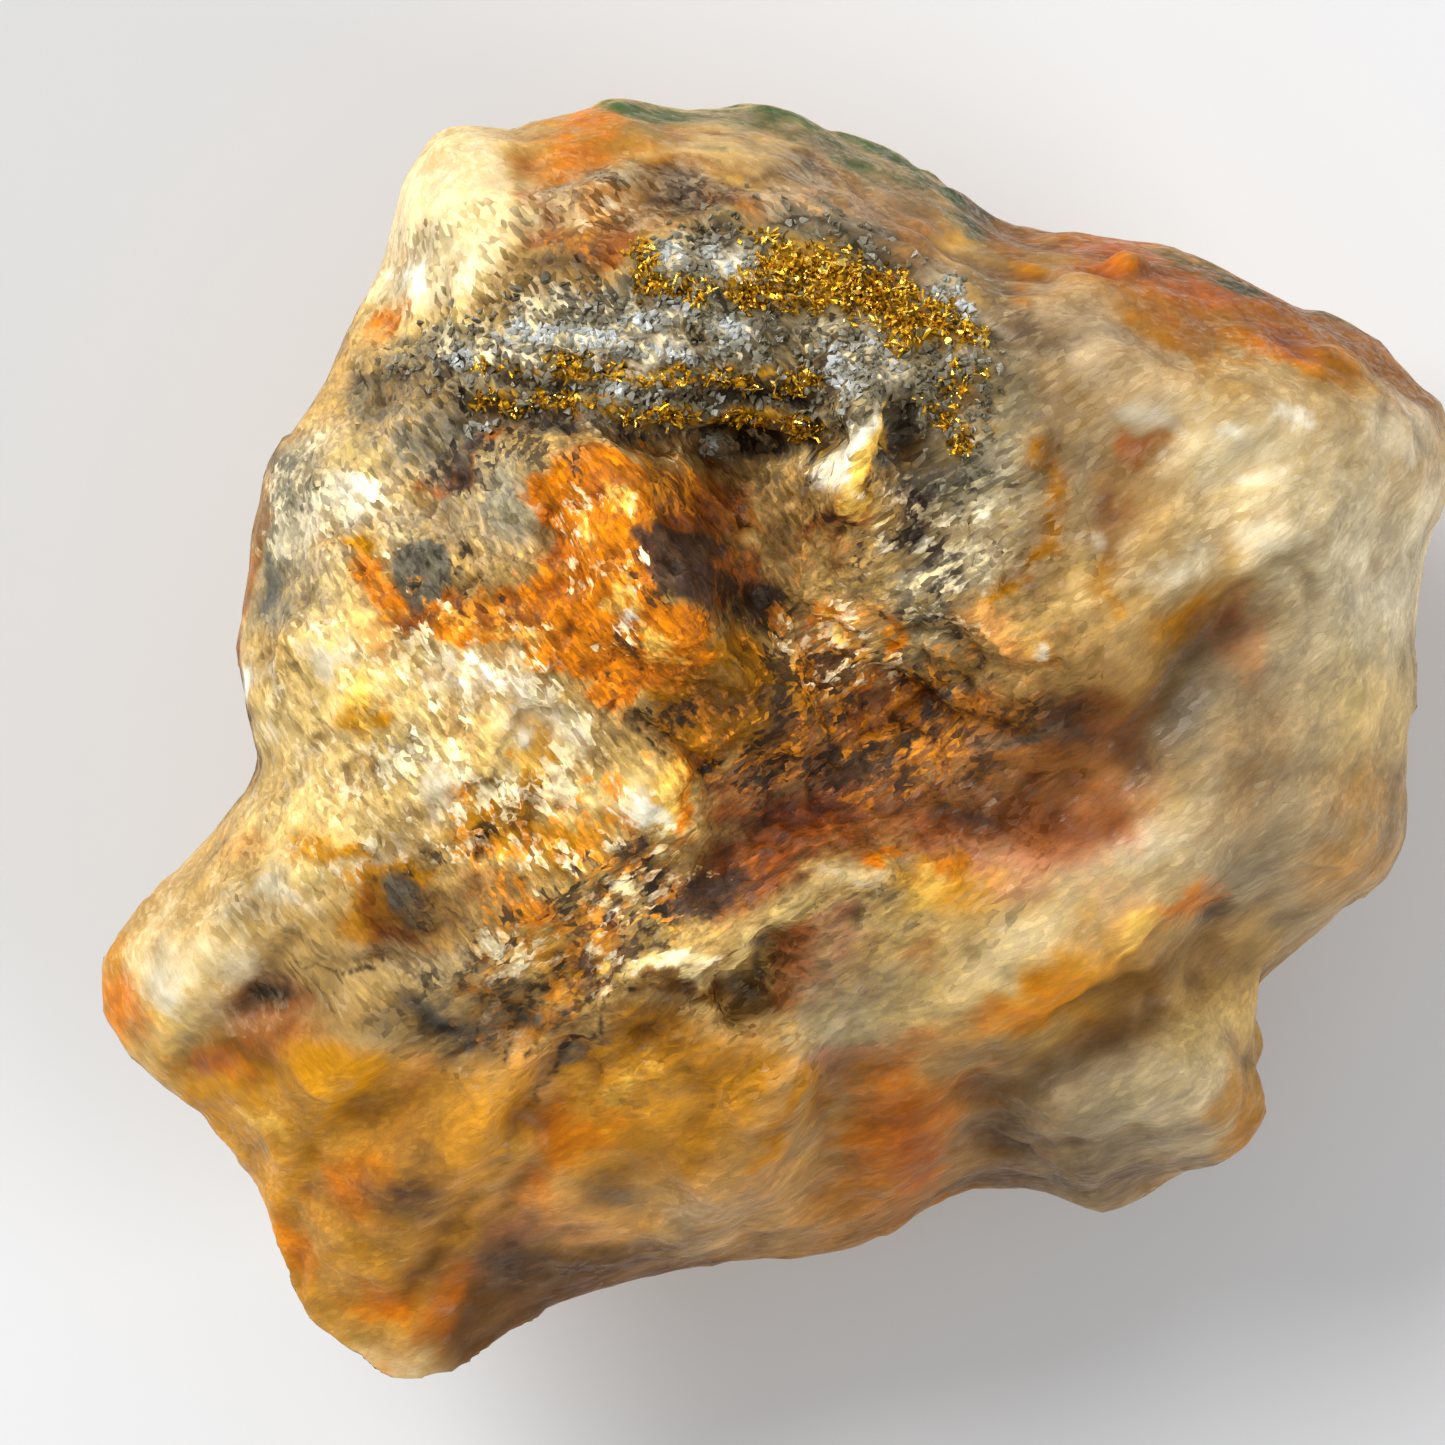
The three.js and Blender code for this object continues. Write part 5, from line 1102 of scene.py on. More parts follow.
crystal_facets, start, end = new_group(
    "crystal_facets",
    [("Vector", "NodeSocketVector", None), ("Cells per metre", "NodeSocketFloat", 2000.0)],
    [("Height", "NodeSocketFloat"), ("Tone", "NodeSocketFloat"), ("Second tone", "NodeSocketFloat")])
cells = crystal_facets.nodes.new("ShaderNodeTexVoronoi")
crystal_facets.links.new(start.outputs["Vector"], cells.inputs["Vector"])
crystal_facets.links.new(start.outputs["Cells per metre"], cells.inputs["Scale"])
scaled = crystal_facets.nodes.new("ShaderNodeVectorMath")
scaled.operation = "SCALE"
crystal_facets.links.new(start.outputs["Vector"], scaled.inputs[0])
crystal_facets.links.new(start.outputs["Cells per metre"], scaled.inputs["Scale"])
from_middle = vector_node(crystal_facets, "SUBTRACT", scaled.outputs["Vector"], cells.outputs["Position"])
lean = vector_node(crystal_facets, "SUBTRACT", cells.outputs["Color"], (0.5, 0.5, 0.5))
slope = crystal_facets.nodes.new("ShaderNodeVectorMath")
slope.operation = "DOT_PRODUCT"
crystal_facets.links.new(from_middle, slope.inputs[0])
crystal_facets.links.new(lean, slope.inputs[1])
crystal_facets.links.new(slope.outputs["Value"], end.inputs["Height"])
tones = crystal_facets.nodes.new("ShaderNodeSeparateColor")
crystal_facets.links.new(cells.outputs["Color"], tones.inputs["Color"])
crystal_facets.links.new(tones.outputs["Red"], end.inputs["Tone"])
crystal_facets.links.new(tones.outputs["Blue"], end.inputs["Second tone"])
print("node groups:", [group.name for group in bpy.data.node_groups])

# %% [markdown]
# ## Stained quartz, with painted light
# The base is pale golden-grey quartz. The mineral tones go over it one by one, from the faint
# ones to the strong ones; a few of them are partly painted highlights, glints and shadow. Then
# one mask darkens broad patches as painted shade, the hollows get painted shade and the crests
# a painted highlight. Stains creep along the crystal edges, so the same facets that catch
# the light also break up the edges of the stains.

# %% Helpers for materials
def srgb(red, green, blue):
    """A colour given from 0 to 255, as the linear values that Blender uses."""
    linear = []
    for value in (red, green, blue):
        share = value / 255
        linear.append(share / 12.92 if share <= 0.04045 else ((share + 0.055) / 1.055) ** 2.4)
    return (*linear, 1.0)


def principled(name, colour, roughness, metallic=0.0):
    """A new material and its Principled node, with plain values on its own sockets."""
    material = bpy.data.materials.new(name)
    material.use_nodes = True
    shader = material.node_tree.nodes["Principled BSDF"]
    shader.inputs["Base Color"].default_value = colour
    shader.inputs["Roughness"].default_value = roughness
    shader.inputs["Metallic"].default_value = metallic
    return material, material.node_tree, shader


def object_place(tree):
    return tree.nodes.new("ShaderNodeTexCoord").outputs["Object"]


def attribute_value(tree, name):
    """The number that an attribute of the mesh holds at each point."""
    node = tree.nodes.new("ShaderNodeAttribute")
    node.attribute_name = name
    return node.outputs["Fac"]


def noise_node(tree, vector, per_metre, detail=4.0, roughness=0.55):
    node = tree.nodes.new("ShaderNodeTexNoise")
    node.inputs["Scale"].default_value = per_metre
    node.inputs["Detail"].default_value = detail
    node.inputs["Roughness"].default_value = roughness
    tree.links.new(vector, node.inputs["Vector"])
    return node


def split_color(tree, color):
    node = tree.nodes.new("ShaderNodeSeparateColor")
    tree.links.new(color, node.inputs["Color"])
    return [node.outputs[label] for label in ("Red", "Green", "Blue")]


def joined(tree, *values):
    """A colour from its red, green and blue values."""
    node = tree.nodes.new("ShaderNodeCombineColor")
    for label, value in zip(("Red", "Green", "Blue"), values):
        tree.links.new(value, node.inputs[label])
    return node.outputs["Color"]


def stretched(tree, vector, turn, lengths):
    """Coordinates that draw a pattern out along a direction in degrees."""
    node = tree.nodes.new("ShaderNodeMapping")
    node.vector_type = "TEXTURE"
    node.inputs["Rotation"].default_value = (0.0, 0.0, math.radians(turn))
    node.inputs["Scale"].default_value = lengths
    tree.links.new(vector, node.inputs["Vector"])
    return node.outputs["Vector"]


def group_node(tree, group, **values):
    node = tree.nodes.new("ShaderNodeGroup")
    node.node_tree = group
    for label, value in values.items():
        plugged(tree, node.inputs[label.replace("_", " ")], value)
    return node


def blended(tree, factor, below, above, blend="MIX"):
    """A colour laid over another. Each may be a plain colour or a socket."""
    node = tree.nodes.new("ShaderNodeMix")
    node.data_type = "RGBA"
    node.blend_type = blend
    sockets = [socket for socket in node.inputs if socket.enabled]
    for socket, value in zip(sockets, (factor, below, above)):
        plugged(tree, socket, value)
    return [socket for socket in node.outputs if socket.enabled][0]


def between(tree, factor, low, high):
    """A value between two others."""
    node = tree.nodes.new("ShaderNodeMix")
    node.data_type = "FLOAT"
    sockets = [socket for socket in node.inputs if socket.enabled]
    for socket, value in zip(sockets, (factor, low, high)):
        plugged(tree, socket, value)
    return [socket for socket in node.outputs if socket.enabled][0]


print("helpers ready")

# %% Quartz material
PALE_QUARTZ = srgb(184, 148, 84)
# Several tones below carry painted light in part: painted highlights and glints in the bright tones, painted shade and
# shadow in the dark brown and black ones.
TONES = [  # attribute, colour, raggedness, softness, strength
    ("sage", srgb(174, 156, 120), 0.7, 0.45, 0.9),
    ("cream", srgb(226, 194, 122), 0.9, 0.45, 0.9),
    ("ash", srgb(132, 124, 98), 0.9, 0.40, 0.92),
    ("milk", srgb(222, 208, 174), 1.2, 0.40, 0.9),
    ("peach", srgb(214, 150, 74), 1.1, 0.40, 0.88),
    ("rose", srgb(184, 112, 76), 1.0, 0.45, 0.85),
    ("ochre", srgb(190, 128, 0), 0.9, 0.40, 1.0),
    ("umber", srgb(112, 70, 8), 1.0, 0.40, 0.9),
    ("amber", srgb(208, 118, 0), 1.1, 0.35, 1.0),
    ("rust", srgb(148, 82, 28), 1.1, 0.40, 0.85),
    ("plum", srgb(70, 50, 38), 1.1, 0.35, 0.93),
    ("slate", srgb(96, 94, 82), 1.2, 0.35, 0.9),
    ("soot", srgb(38, 32, 18), 1.3, 0.35, 0.88),
    ("mustard", srgb(166, 120, 14), 1.2, 0.35, 0.88),
    ("moss", srgb(52, 86, 34), 0.6, 0.8, 0.95),
    ("ember", srgb(220, 142, 36), 2.2, 0.18, 0.9),
    ("pepper", srgb(50, 38, 24), 2.2, 0.18, 0.88),
    ("spark", srgb(244, 226, 180), 2.2, 0.18, 0.85),
    ("honey", srgb(255, 206, 92), 1.5, 0.35, 0.85),
    ("snow", srgb(252, 244, 216), 1.6, 0.35, 0.85),
]
GRAIN_STRETCH = (2.8, 1.0, 1.0)

stained_quartz, tree, shader = principled("stained_quartz", PALE_QUARTZ, 0.45)
where = object_place(tree)
falling = stretched(tree, where, FALLING, GRAIN_STRETCH)
rising = stretched(tree, where, RISING, GRAIN_STRETCH)
falls_here = attribute_value(tree, "grain_falls")
crisp_here = attribute_value(tree, "crispness")
sharp_here = remapped(tree, crisp_here, (0.5, 0.95), (0.0, 1.0))
patchy = split_color(tree, noise_node(tree, where, 620.0, 4.0, 0.7).outputs["Color"])
way = math_node(tree, "GREATER_THAN", math_node(tree, "MULTIPLY_ADD", patchy[2], 1.2, falls_here), 1.1)
along_grain = blended(tree, way, rising, falling)
fine = split_color(tree, noise_node(tree, along_grain, 4800.0, 4.0, 0.68).outputs["Color"])
large, small = [group_node(tree, crystal_facets, Vector=along_grain, Cells_per_metre=per_metre).outputs
                for per_metre in (1700.0, 6000.0)]

colour = PALE_QUARTZ
for number, (tone_name, tone_colour, raggedness, softness, strength) in enumerate(TONES):
    label = ("Tone", "Second tone")[number % 2]
    edge = remapped(tree, patchy[number % 3], (0.36, 0.64), (0.0, 0.42))
    edge = math_node(tree, "MULTIPLY_ADD", small[label], 0.26, edge)
    edge = math_node(tree, "MULTIPLY_ADD", large[label], 0.16, edge)
    edge = math_node(tree, "ADD", remapped(tree, fine[number % 3], (0.36, 0.64), (0.0, 0.16)), edge)
    covered = group_node(tree, ragged_edge, Mask=attribute_value(tree, tone_name), Noise=edge,
                         Raggedness=raggedness, Softness=softness, Sharpness=sharp_here)
    factor = math_node(tree, "MULTIPLY", covered.outputs["Cover"], strength)
    colour = blended(tree, factor, colour, tone_colour)

# Painted shade: a mask darkens broad patches towards brown.
painted_shade_film = math_node(tree, "MULTIPLY", attribute_value(tree, "gloom"), 0.8)
colour = blended(tree, painted_shade_film, colour, srgb(150, 114, 70), "MULTIPLY")
# Painted shade in the hollows.
hollow_painted_shade = math_node(tree, "MULTIPLY", attribute_value(tree, "hollow"), 0.6)
colour = blended(tree, hollow_painted_shade, colour, srgb(146, 114, 72), "MULTIPLY")

mosaic = math_node(tree, "MULTIPLY", remapped(tree, small["Second tone"], (0.0, 1.0), (0.62, 1.38)),
                   remapped(tree, large["Tone"], (0.0, 1.0), (0.84, 1.16)))
mosaic = math_node(tree, "MULTIPLY", mosaic, remapped(tree, fine[1], (0.36, 0.64), (0.62, 1.38)))
pale_here = math_node(tree, "ADD", attribute_value(tree, "milk"), attribute_value(tree, "cream"))
pale_here = math_node(tree, "MULTIPLY", pale_here, 0.55)
mosaic = between(tree, pale_here, mosaic, 1.0)
mosaic = between(tree, remapped(tree, sharp_here, (0.0, 1.0), (0.3, 1.0)), 1.0, mosaic)
# Painted highlight: the crests get lighter.
mosaic = math_node(tree, "MULTIPLY", mosaic, math_node(tree, "MULTIPLY_ADD", attribute_value(tree, "crest"), 0.2, 1.0))
drifts = noise_node(tree, rising, 800.0, 3.0, 0.5).outputs["Fac"]
mosaic = math_node(tree, "MULTIPLY", mosaic, remapped(tree, drifts, (0.34, 0.66), (0.74, 1.26)))
warmth = remapped(tree, small["Tone"], (0.0, 1.0), (0.86, 1.14))
cooler = math_node(tree, "MULTIPLY", mosaic, between(tree, crisp_here, 1.0, warmth))
colour = blended(tree, 1.0, colour, joined(tree, mosaic, mosaic, cooler), "MULTIPLY")
tree.links.new(colour, shader.inputs["Base Color"])

height = math_node(tree, "MULTIPLY", small["Height"], 0.5)
height = math_node(tree, "MULTIPLY_ADD", large["Height"], 0.7, height)
height = math_node(tree, "MULTIPLY_ADD", fine[0], 0.4, height)
height = math_node(tree, "MULTIPLY", height, remapped(tree, sharp_here, (0.0, 1.0), (0.12, 1.0)))
bump = tree.nodes.new("ShaderNodeBump")
bump.inputs["Distance"].default_value = 0.00024
bump.inputs["Strength"].default_value = 0.8
tree.links.new(height, bump.inputs["Height"])
tree.links.new(bump.outputs["Normal"], shader.inputs["Normal"])
tree.links.new(remapped(tree, small["Tone"], (0.0, 1.0), (0.24, 0.66)), shader.inputs["Roughness"])
shader.inputs["IOR"].default_value = 1.54
shader.inputs["Specular IOR Level"].default_value = 0.16

write_mask(vein_quartz.data, "grain_falls", grain_falls(place))
write_mask(vein_quartz.data, "crispness", np.maximum(crispness(place) * facing, 0.75 * (1 - facing)))
vein_quartz.data.materials.append(stained_quartz)
vein_quartz.data.polygons.foreach_set("use_smooth", np.ones(len(vein_quartz.data.polygons), bool))
print("quartz material nodes:", len(tree.nodes))

# %% [markdown]
# ## Grains, wires and sprigs
# The gold is not a smooth metal. It is a sponge of grains about a quarter of a millimetre
# across, with thin wires and little sprigs among them. The quartz beside it looks like coarse
# sugar. A few small shapes are made once: a lumpy grain is the hull of some random points,
# and a wire is a bent tube with four sides. Geometry Nodes scatter them, so they have only
# a few dozen faces each.

# %% Templates for the scatter
import bmesh

GRAIN = 1.0  # mm across a template before the scatter sizes it


def hull_mesh(name, cloud):
    """The convex hull of a cloud of points, in mm, as a mesh."""
    shape = bmesh.new()
    for spot in cloud:
        shape.verts.new([value * MM for value in spot])
    made = bmesh.ops.convex_hull(shape, input=shape.verts)
    loose = [item for item in made["geom_interior"] if isinstance(item, bmesh.types.BMVert)]
    bmesh.ops.delete(shape, geom=loose, context="VERTS")
    bmesh.ops.triangulate(shape, faces=shape.faces)
    bmesh.ops.recalc_face_normals(shape, faces=shape.faces)
    mesh = bpy.data.meshes.new(name)
    shape.to_mesh(mesh)
    shape.free()
    return mesh


def tube_mesh(name, paths, radius, sides=4):
    """Closed tubes along one or more paths, in mm, as one mesh."""
    places, faces = [], []
    for path in paths:
        first = len(places)
        for step, spot in enumerate(path):
            ahead = np.array(path[min(step + 1, len(path) - 1)]) - np.array(path[max(step - 1, 0)])
            ahead = ahead / np.linalg.norm(ahead)
            across = np.cross(ahead, (0.3, 0.2, 0.93))
            across = across / np.linalg.norm(across)
            upward = np.cross(ahead, across)
            thin = radius * (1.0 - 0.5 * step / (len(path) - 1))
            for side in range(sides):
                angle = 2 * math.pi * side / sides
                ring = np.array(spot) + thin * (math.cos(angle) * across + math.sin(angle) * upward)
                places.append(ring * MM)
        for step in range(len(path) - 1):
            for side in range(sides):
                a = first + step * sides + side
                b = first + step * sides + (side + 1) % sides
                faces.append((a, b, b + sides, a + sides))
        last = first + (len(path) - 1) * sides
        faces.append(tuple(range(first + sides - 1, first - 1, -1)))
        faces.append(tuple(range(last, last + sides)))
    mesh = bpy.data.meshes.new(name)
    mesh.from_pydata([tuple(spot) for spot in places], [], faces)
    shape = bmesh.new()
    shape.from_mesh(mesh)
    bmesh.ops.recalc_face_normals(shape, faces=shape.faces)
    shape.to_mesh(mesh)
    shape.free()
    return mesh


def template_set(name, meshes):
    """A collection of template objects, kept out of the scene."""
    collection = bpy.data.collections.new(name)
    for mesh in meshes:
        collection.objects.link(bpy.data.objects.new(mesh.name, mesh))
    return collection


dice = np.random.default_rng(7)
gold_shapes = []
for number in range(5):
    cloud = dice.normal(size=(14, 3))
    cloud /= np.linalg.norm(cloud, axis=1)[:, None]
    cloud *= GRAIN / 2 * dice.uniform(0.65, 1.1, size=(14, 1)) * np.array((1.25, 0.9, 0.75))
    gold_shapes.append(hull_mesh(f"nugget_{number}", cloud))
for number in range(3):
    bend = np.cumsum(dice.normal(size=(6, 3)) * (0.05, 0.16, 0.14), axis=0)
    path = [(GRAIN * (0.42 * step - 1.05), *bend[step, 1:]) for step in range(6)]
    gold_shapes.append(tube_mesh(f"wire_{number}", [path], 0.15 * GRAIN))
for number in range(2):
    arms = []
    for arm in range(4):
        way = dice.normal(size=3)
        way /= np.linalg.norm(way)
        arms.append([(0, 0, 0), tuple(way * 0.45 * GRAIN), tuple((way + (0.1, 0.2, 0.1)) * 0.8 * GRAIN)])
    gold_shapes.append(tube_mesh(f"sprig_{number}", arms, 0.16 * GRAIN, sides=3))
sugar_shapes = []
for number in range(6):
    cloud = dice.uniform(-0.5, 0.5, size=(10, 3)) * GRAIN * np.array((1.1, 0.85, 0.75))
    sugar_shapes.append(hull_mesh(f"sugar_{number}", cloud))
gold_templates = template_set("gold_templates", gold_shapes)
sugar_templates = template_set("sugar_templates", sugar_shapes)
print("template faces:", [len(mesh.polygons) for mesh in gold_shapes + sugar_shapes])

# %% [markdown]
# ## The scatter tree
# One node tree serves the gold and the sugary quartz. It drops points on a patch of skin,
# thick where the attribute "richness" is high, lifts some of them so the grains pile up, and
# puts a random template on each. Every grain keeps a random number, "shade", for its material.

# %% Scatter tree
def scatter_tree(name):
    tree = bpy.data.node_groups.new(name, "GeometryNodeTree")
    tree.interface.new_socket("Geometry", in_out="INPUT", socket_type="NodeSocketGeometry")
    for label, kind in (("Templates", "NodeSocketCollection"), ("Grains per square metre", "NodeSocketFloat"),
                        ("Smallest", "NodeSocketFloat"), ("Largest", "NodeSocketFloat"),
                        ("Pile height", "NodeSocketFloat"), ("Seed", "NodeSocketInt"),
                        ("Finish", "NodeSocketMaterial")):
        tree.interface.new_socket(label, in_out="INPUT", socket_type=kind)
    tree.interface.new_socket("Geometry", in_out="OUTPUT", socket_type="NodeSocketGeometry")
    start, end = tree.nodes.new("NodeGroupInput"), tree.nodes.new("NodeGroupOutput")
    join = tree.links.new

    richness = tree.nodes.new("GeometryNodeInputNamedAttribute")
    richness.data_type = "FLOAT"
    richness.inputs["Name"].default_value = "richness"
    density = math_node(tree, "MULTIPLY", richness.outputs["Attribute"],
                        start.outputs["Grains per square metre"])
    drop = tree.nodes.new("GeometryNodeDistributePointsOnFaces")
    join(start.outputs["Geometry"], drop.inputs["Mesh"])
    join(density, drop.inputs["Density"])
    join(start.outputs["Seed"], drop.inputs["Seed"])

    def random_value(kind, low, high, shift):
        node = tree.nodes.new("FunctionNodeRandomValue")
        node.data_type = kind
        inputs = [socket for socket in node.inputs if socket.enabled]
        for socket, value in zip(inputs, (low, high)):
            if isinstance(value, (int, float, tuple)):
                socket.default_value = value
            else:
                join(value, socket)
        seed = math_node(tree, "ADD", start.outputs["Seed"], shift)
        join(seed, node.inputs["Seed"])
        return [socket for socket in node.outputs if socket.enabled][0]

    lift = math_node(tree, "MULTIPLY", random_value("FLOAT", -0.3, 1.0, 1), start.outputs["Pile height"])
    lift = math_node(tree, "MULTIPLY", lift, richness.outputs["Attribute"])
    raise_by = tree.nodes.new("ShaderNodeVectorMath")
    raise_by.operation = "SCALE"
    join(drop.outputs["Normal"], raise_by.inputs[0])
    join(lift, raise_by.inputs["Scale"])
    pile = tree.nodes.new("GeometryNodeSetPosition")
    join(drop.outputs["Points"], pile.inputs["Geometry"])
    join(raise_by.outputs["Vector"], pile.inputs["Offset"])

    picked = tree.nodes.new("GeometryNodeCollectionInfo")
    join(start.outputs["Templates"], picked.inputs["Collection"])
    picked.inputs["Separate Children"].default_value = True
    picked.inputs["Reset Children"].default_value = True
    place_on = tree.nodes.new("GeometryNodeInstanceOnPoints")
    join(pile.outputs["Geometry"], place_on.inputs["Points"])
    join(picked.outputs[0], place_on.inputs["Instance"])
    place_on.inputs["Pick Instance"].default_value = True
    full_turn = (6.283, 6.283, 6.283)
    join(random_value("FLOAT_VECTOR", (0.0, 0.0, 0.0), full_turn, 2), place_on.inputs["Rotation"])
    join(random_value("FLOAT", start.outputs["Smallest"], start.outputs["Largest"], 3),
         place_on.inputs["Scale"])

    store = tree.nodes.new("GeometryNodeStoreNamedAttribute")
    store.data_type = "FLOAT"
    store.domain = "INSTANCE"
    store.inputs["Name"].default_value = "shade"
    join(place_on.outputs["Instances"], store.inputs["Geometry"])
    value_socket = [socket for socket in store.inputs if socket.name == "Value" and socket.enabled][0]
    join(random_value("FLOAT", 0.0, 1.0, 4), value_socket)

    solid = tree.nodes.new("GeometryNodeRealizeInstances")
    finish = tree.nodes.new("GeometryNodeSetMaterial")
    join(store.outputs["Geometry"], solid.inputs["Geometry"])
    join(solid.outputs["Geometry"], finish.inputs["Geometry"])
    join(start.outputs["Finish"], finish.inputs["Material"])
    join(finish.outputs["Geometry"], end.inputs["Geometry"])
    return tree


scatter = scatter_tree("scatter_grains")


def bed_patch(name, richness, extra):
    """The part of the quartz skin where richness is above zero, with its attributes."""
    skin = vein_quartz.data
    skin.calc_loop_triangles()
    corners = np.zeros(len(skin.loop_triangles) * 3, np.int32)
    skin.loop_triangles.foreach_get("vertices", corners)
    corners = corners.reshape(-1, 3)
    chosen = corners[np.all(richness[corners] > 0.02, axis=1)]
    used, renumbered = np.unique(chosen, return_inverse=True)
    mesh = bpy.data.meshes.new(name + "_bed")
    mesh.from_pydata((skin_points[used] * MM).tolist(), [], renumbered.reshape(-1, 3).tolist())
    write_mask(mesh, "richness", richness[used])
    for label, values in extra.items():
        write_mask(mesh, label, values[used])
    return mesh


def scattered(name, richness, templates, finish, per_mm2, sizes, pile, seed, extra=None):
    """Scatters templates over a bed and returns one plain mesh object."""
    piece = bpy.data.objects.new(name, bed_patch(name, richness, extra or {}))
    scene.collection.objects.link(piece)
    modifier = piece.modifiers.new("scatter", "NODES")
    modifier.node_group = scatter
    values = {"Templates": templates, "Grains per square metre": per_mm2 / MM ** 2,
              "Smallest": sizes[0], "Largest": sizes[1], "Pile height": pile * MM,
              "Seed": seed, "Finish": finish}
    for socket in scatter.interface.items_tree:
        if socket.item_type == "SOCKET" and socket.in_out == "INPUT" and socket.name in values:
            modifier[socket.identifier] = values[socket.name]
    piece.update_tag()
    flattened(piece)
    print(name, "triangles:", sum(len(face.vertices) - 2 for face in piece.data.polygons))
    return piece


print("scatter inputs:", [item.name for item in scatter.interface.items_tree])

# %% [markdown]
# ## Gold and sugar finishes
# Native gold is pure metal, but thin brown limonite clings to it and dims the deeper grains.
# The random shade of each grain sets how clean it is, so a few flash and most glow dull
# mustard. Sugary quartz goes from smoky grey to white in the same way.

# %% Metal and sugar materials
def ramped(tree, value, stops):
    """A colour ramp with (place, colour) stops."""
    node = tree.nodes.new("ShaderNodeValToRGB")
    ramp_points = node.color_ramp.elements
    while len(ramp_points) < len(stops):
        ramp_points.new(0.5)
    for point, (at, tint) in zip(ramp_points, stops):
        point.position = at
        point.color = tint
    tree.links.new(value, node.inputs["Fac"])
    return node.outputs["Color"]


native_gold, tree, shader = principled("native_gold", srgb(214, 160, 40), 0.34, 1.0)
where = object_place(tree)
tarnish = noise_node(tree, where, 2600.0, 3.0)
clean = math_node(tree, "MULTIPLY_ADD", attribute_value(tree, "shade"), 0.65,
                  math_node(tree, "MULTIPLY", tarnish.outputs["Fac"], 0.35))
gold_tint = ramped(tree, clean, [(0.16, srgb(96, 70, 12)), (0.38, srgb(186, 140, 32)),
                                 (0.60, srgb(238, 184, 44)), (0.80, srgb(255, 228, 118))])
tree.links.new(gold_tint, shader.inputs["Base Color"])
tree.links.new(remapped(tree, clean, (0.2, 0.8), (0.6, 0.26)), shader.inputs["Roughness"])
pits = tree.nodes.new("ShaderNodeBump")
pits.inputs["Distance"].default_value = 0.00004
pits.inputs["Strength"].default_value = 0.5
tree.links.new(noise_node(tree, where, 14000.0, 3.0).outputs["Fac"], pits.inputs["Height"])
tree.links.new(pits.outputs["Normal"], shader.inputs["Normal"])

sugary_finish, tree, shader = principled("sugary_finish", srgb(190, 186, 172), 0.3)
where = object_place(tree)
cloud = noise_node(tree, where, 1100.0, 4.0)
pale = math_node(tree, "MULTIPLY_ADD", attribute_value(tree, "shade"), 0.2,
                 remapped(tree, cloud.outputs["Fac"], (0.35, 0.65), (0.0, 0.36)))
pale = math_node(tree, "MULTIPLY_ADD", attribute_value(tree, "whiteness"), 0.5, pale)
sugar_tint = ramped(tree, pale, [(0.06, srgb(62, 54, 34)), (0.30, srgb(112, 102, 76)),
                                 (0.58, srgb(150, 148, 134)), (0.92, srgb(222, 226, 224))])
tree.links.new(sugar_tint, shader.inputs["Base Color"])
shader.inputs["Subsurface Weight"].default_value = 0.25
shader.inputs["Subsurface Radius"].default_value = (1.0, 0.9, 0.75)
shader.inputs["Subsurface Scale"].default_value = 0.0004
shader.inputs["IOR"].default_value = 1.54
frost = tree.nodes.new("ShaderNodeBump")
frost.inputs["Distance"].default_value = 0.00003
frost.inputs["Strength"].default_value = 0.5
tree.links.new(noise_node(tree, where, 16000.0, 2.0).outputs["Fac"], frost.inputs["Height"])
tree.links.new(frost.outputs["Normal"], shader.inputs["Normal"])
print("finishes:", native_gold.name, sugary_finish.name)

# %% [markdown]
# ## Lay the gold and the sugar
# The upper seam is one thick band that thins to the right, with a loose ring of gold round a
# white clump at its left. The lower seam is two thin strands of separate clusters. A small
# side cluster sits by itself to the right. Sugary quartz fills the space between them.

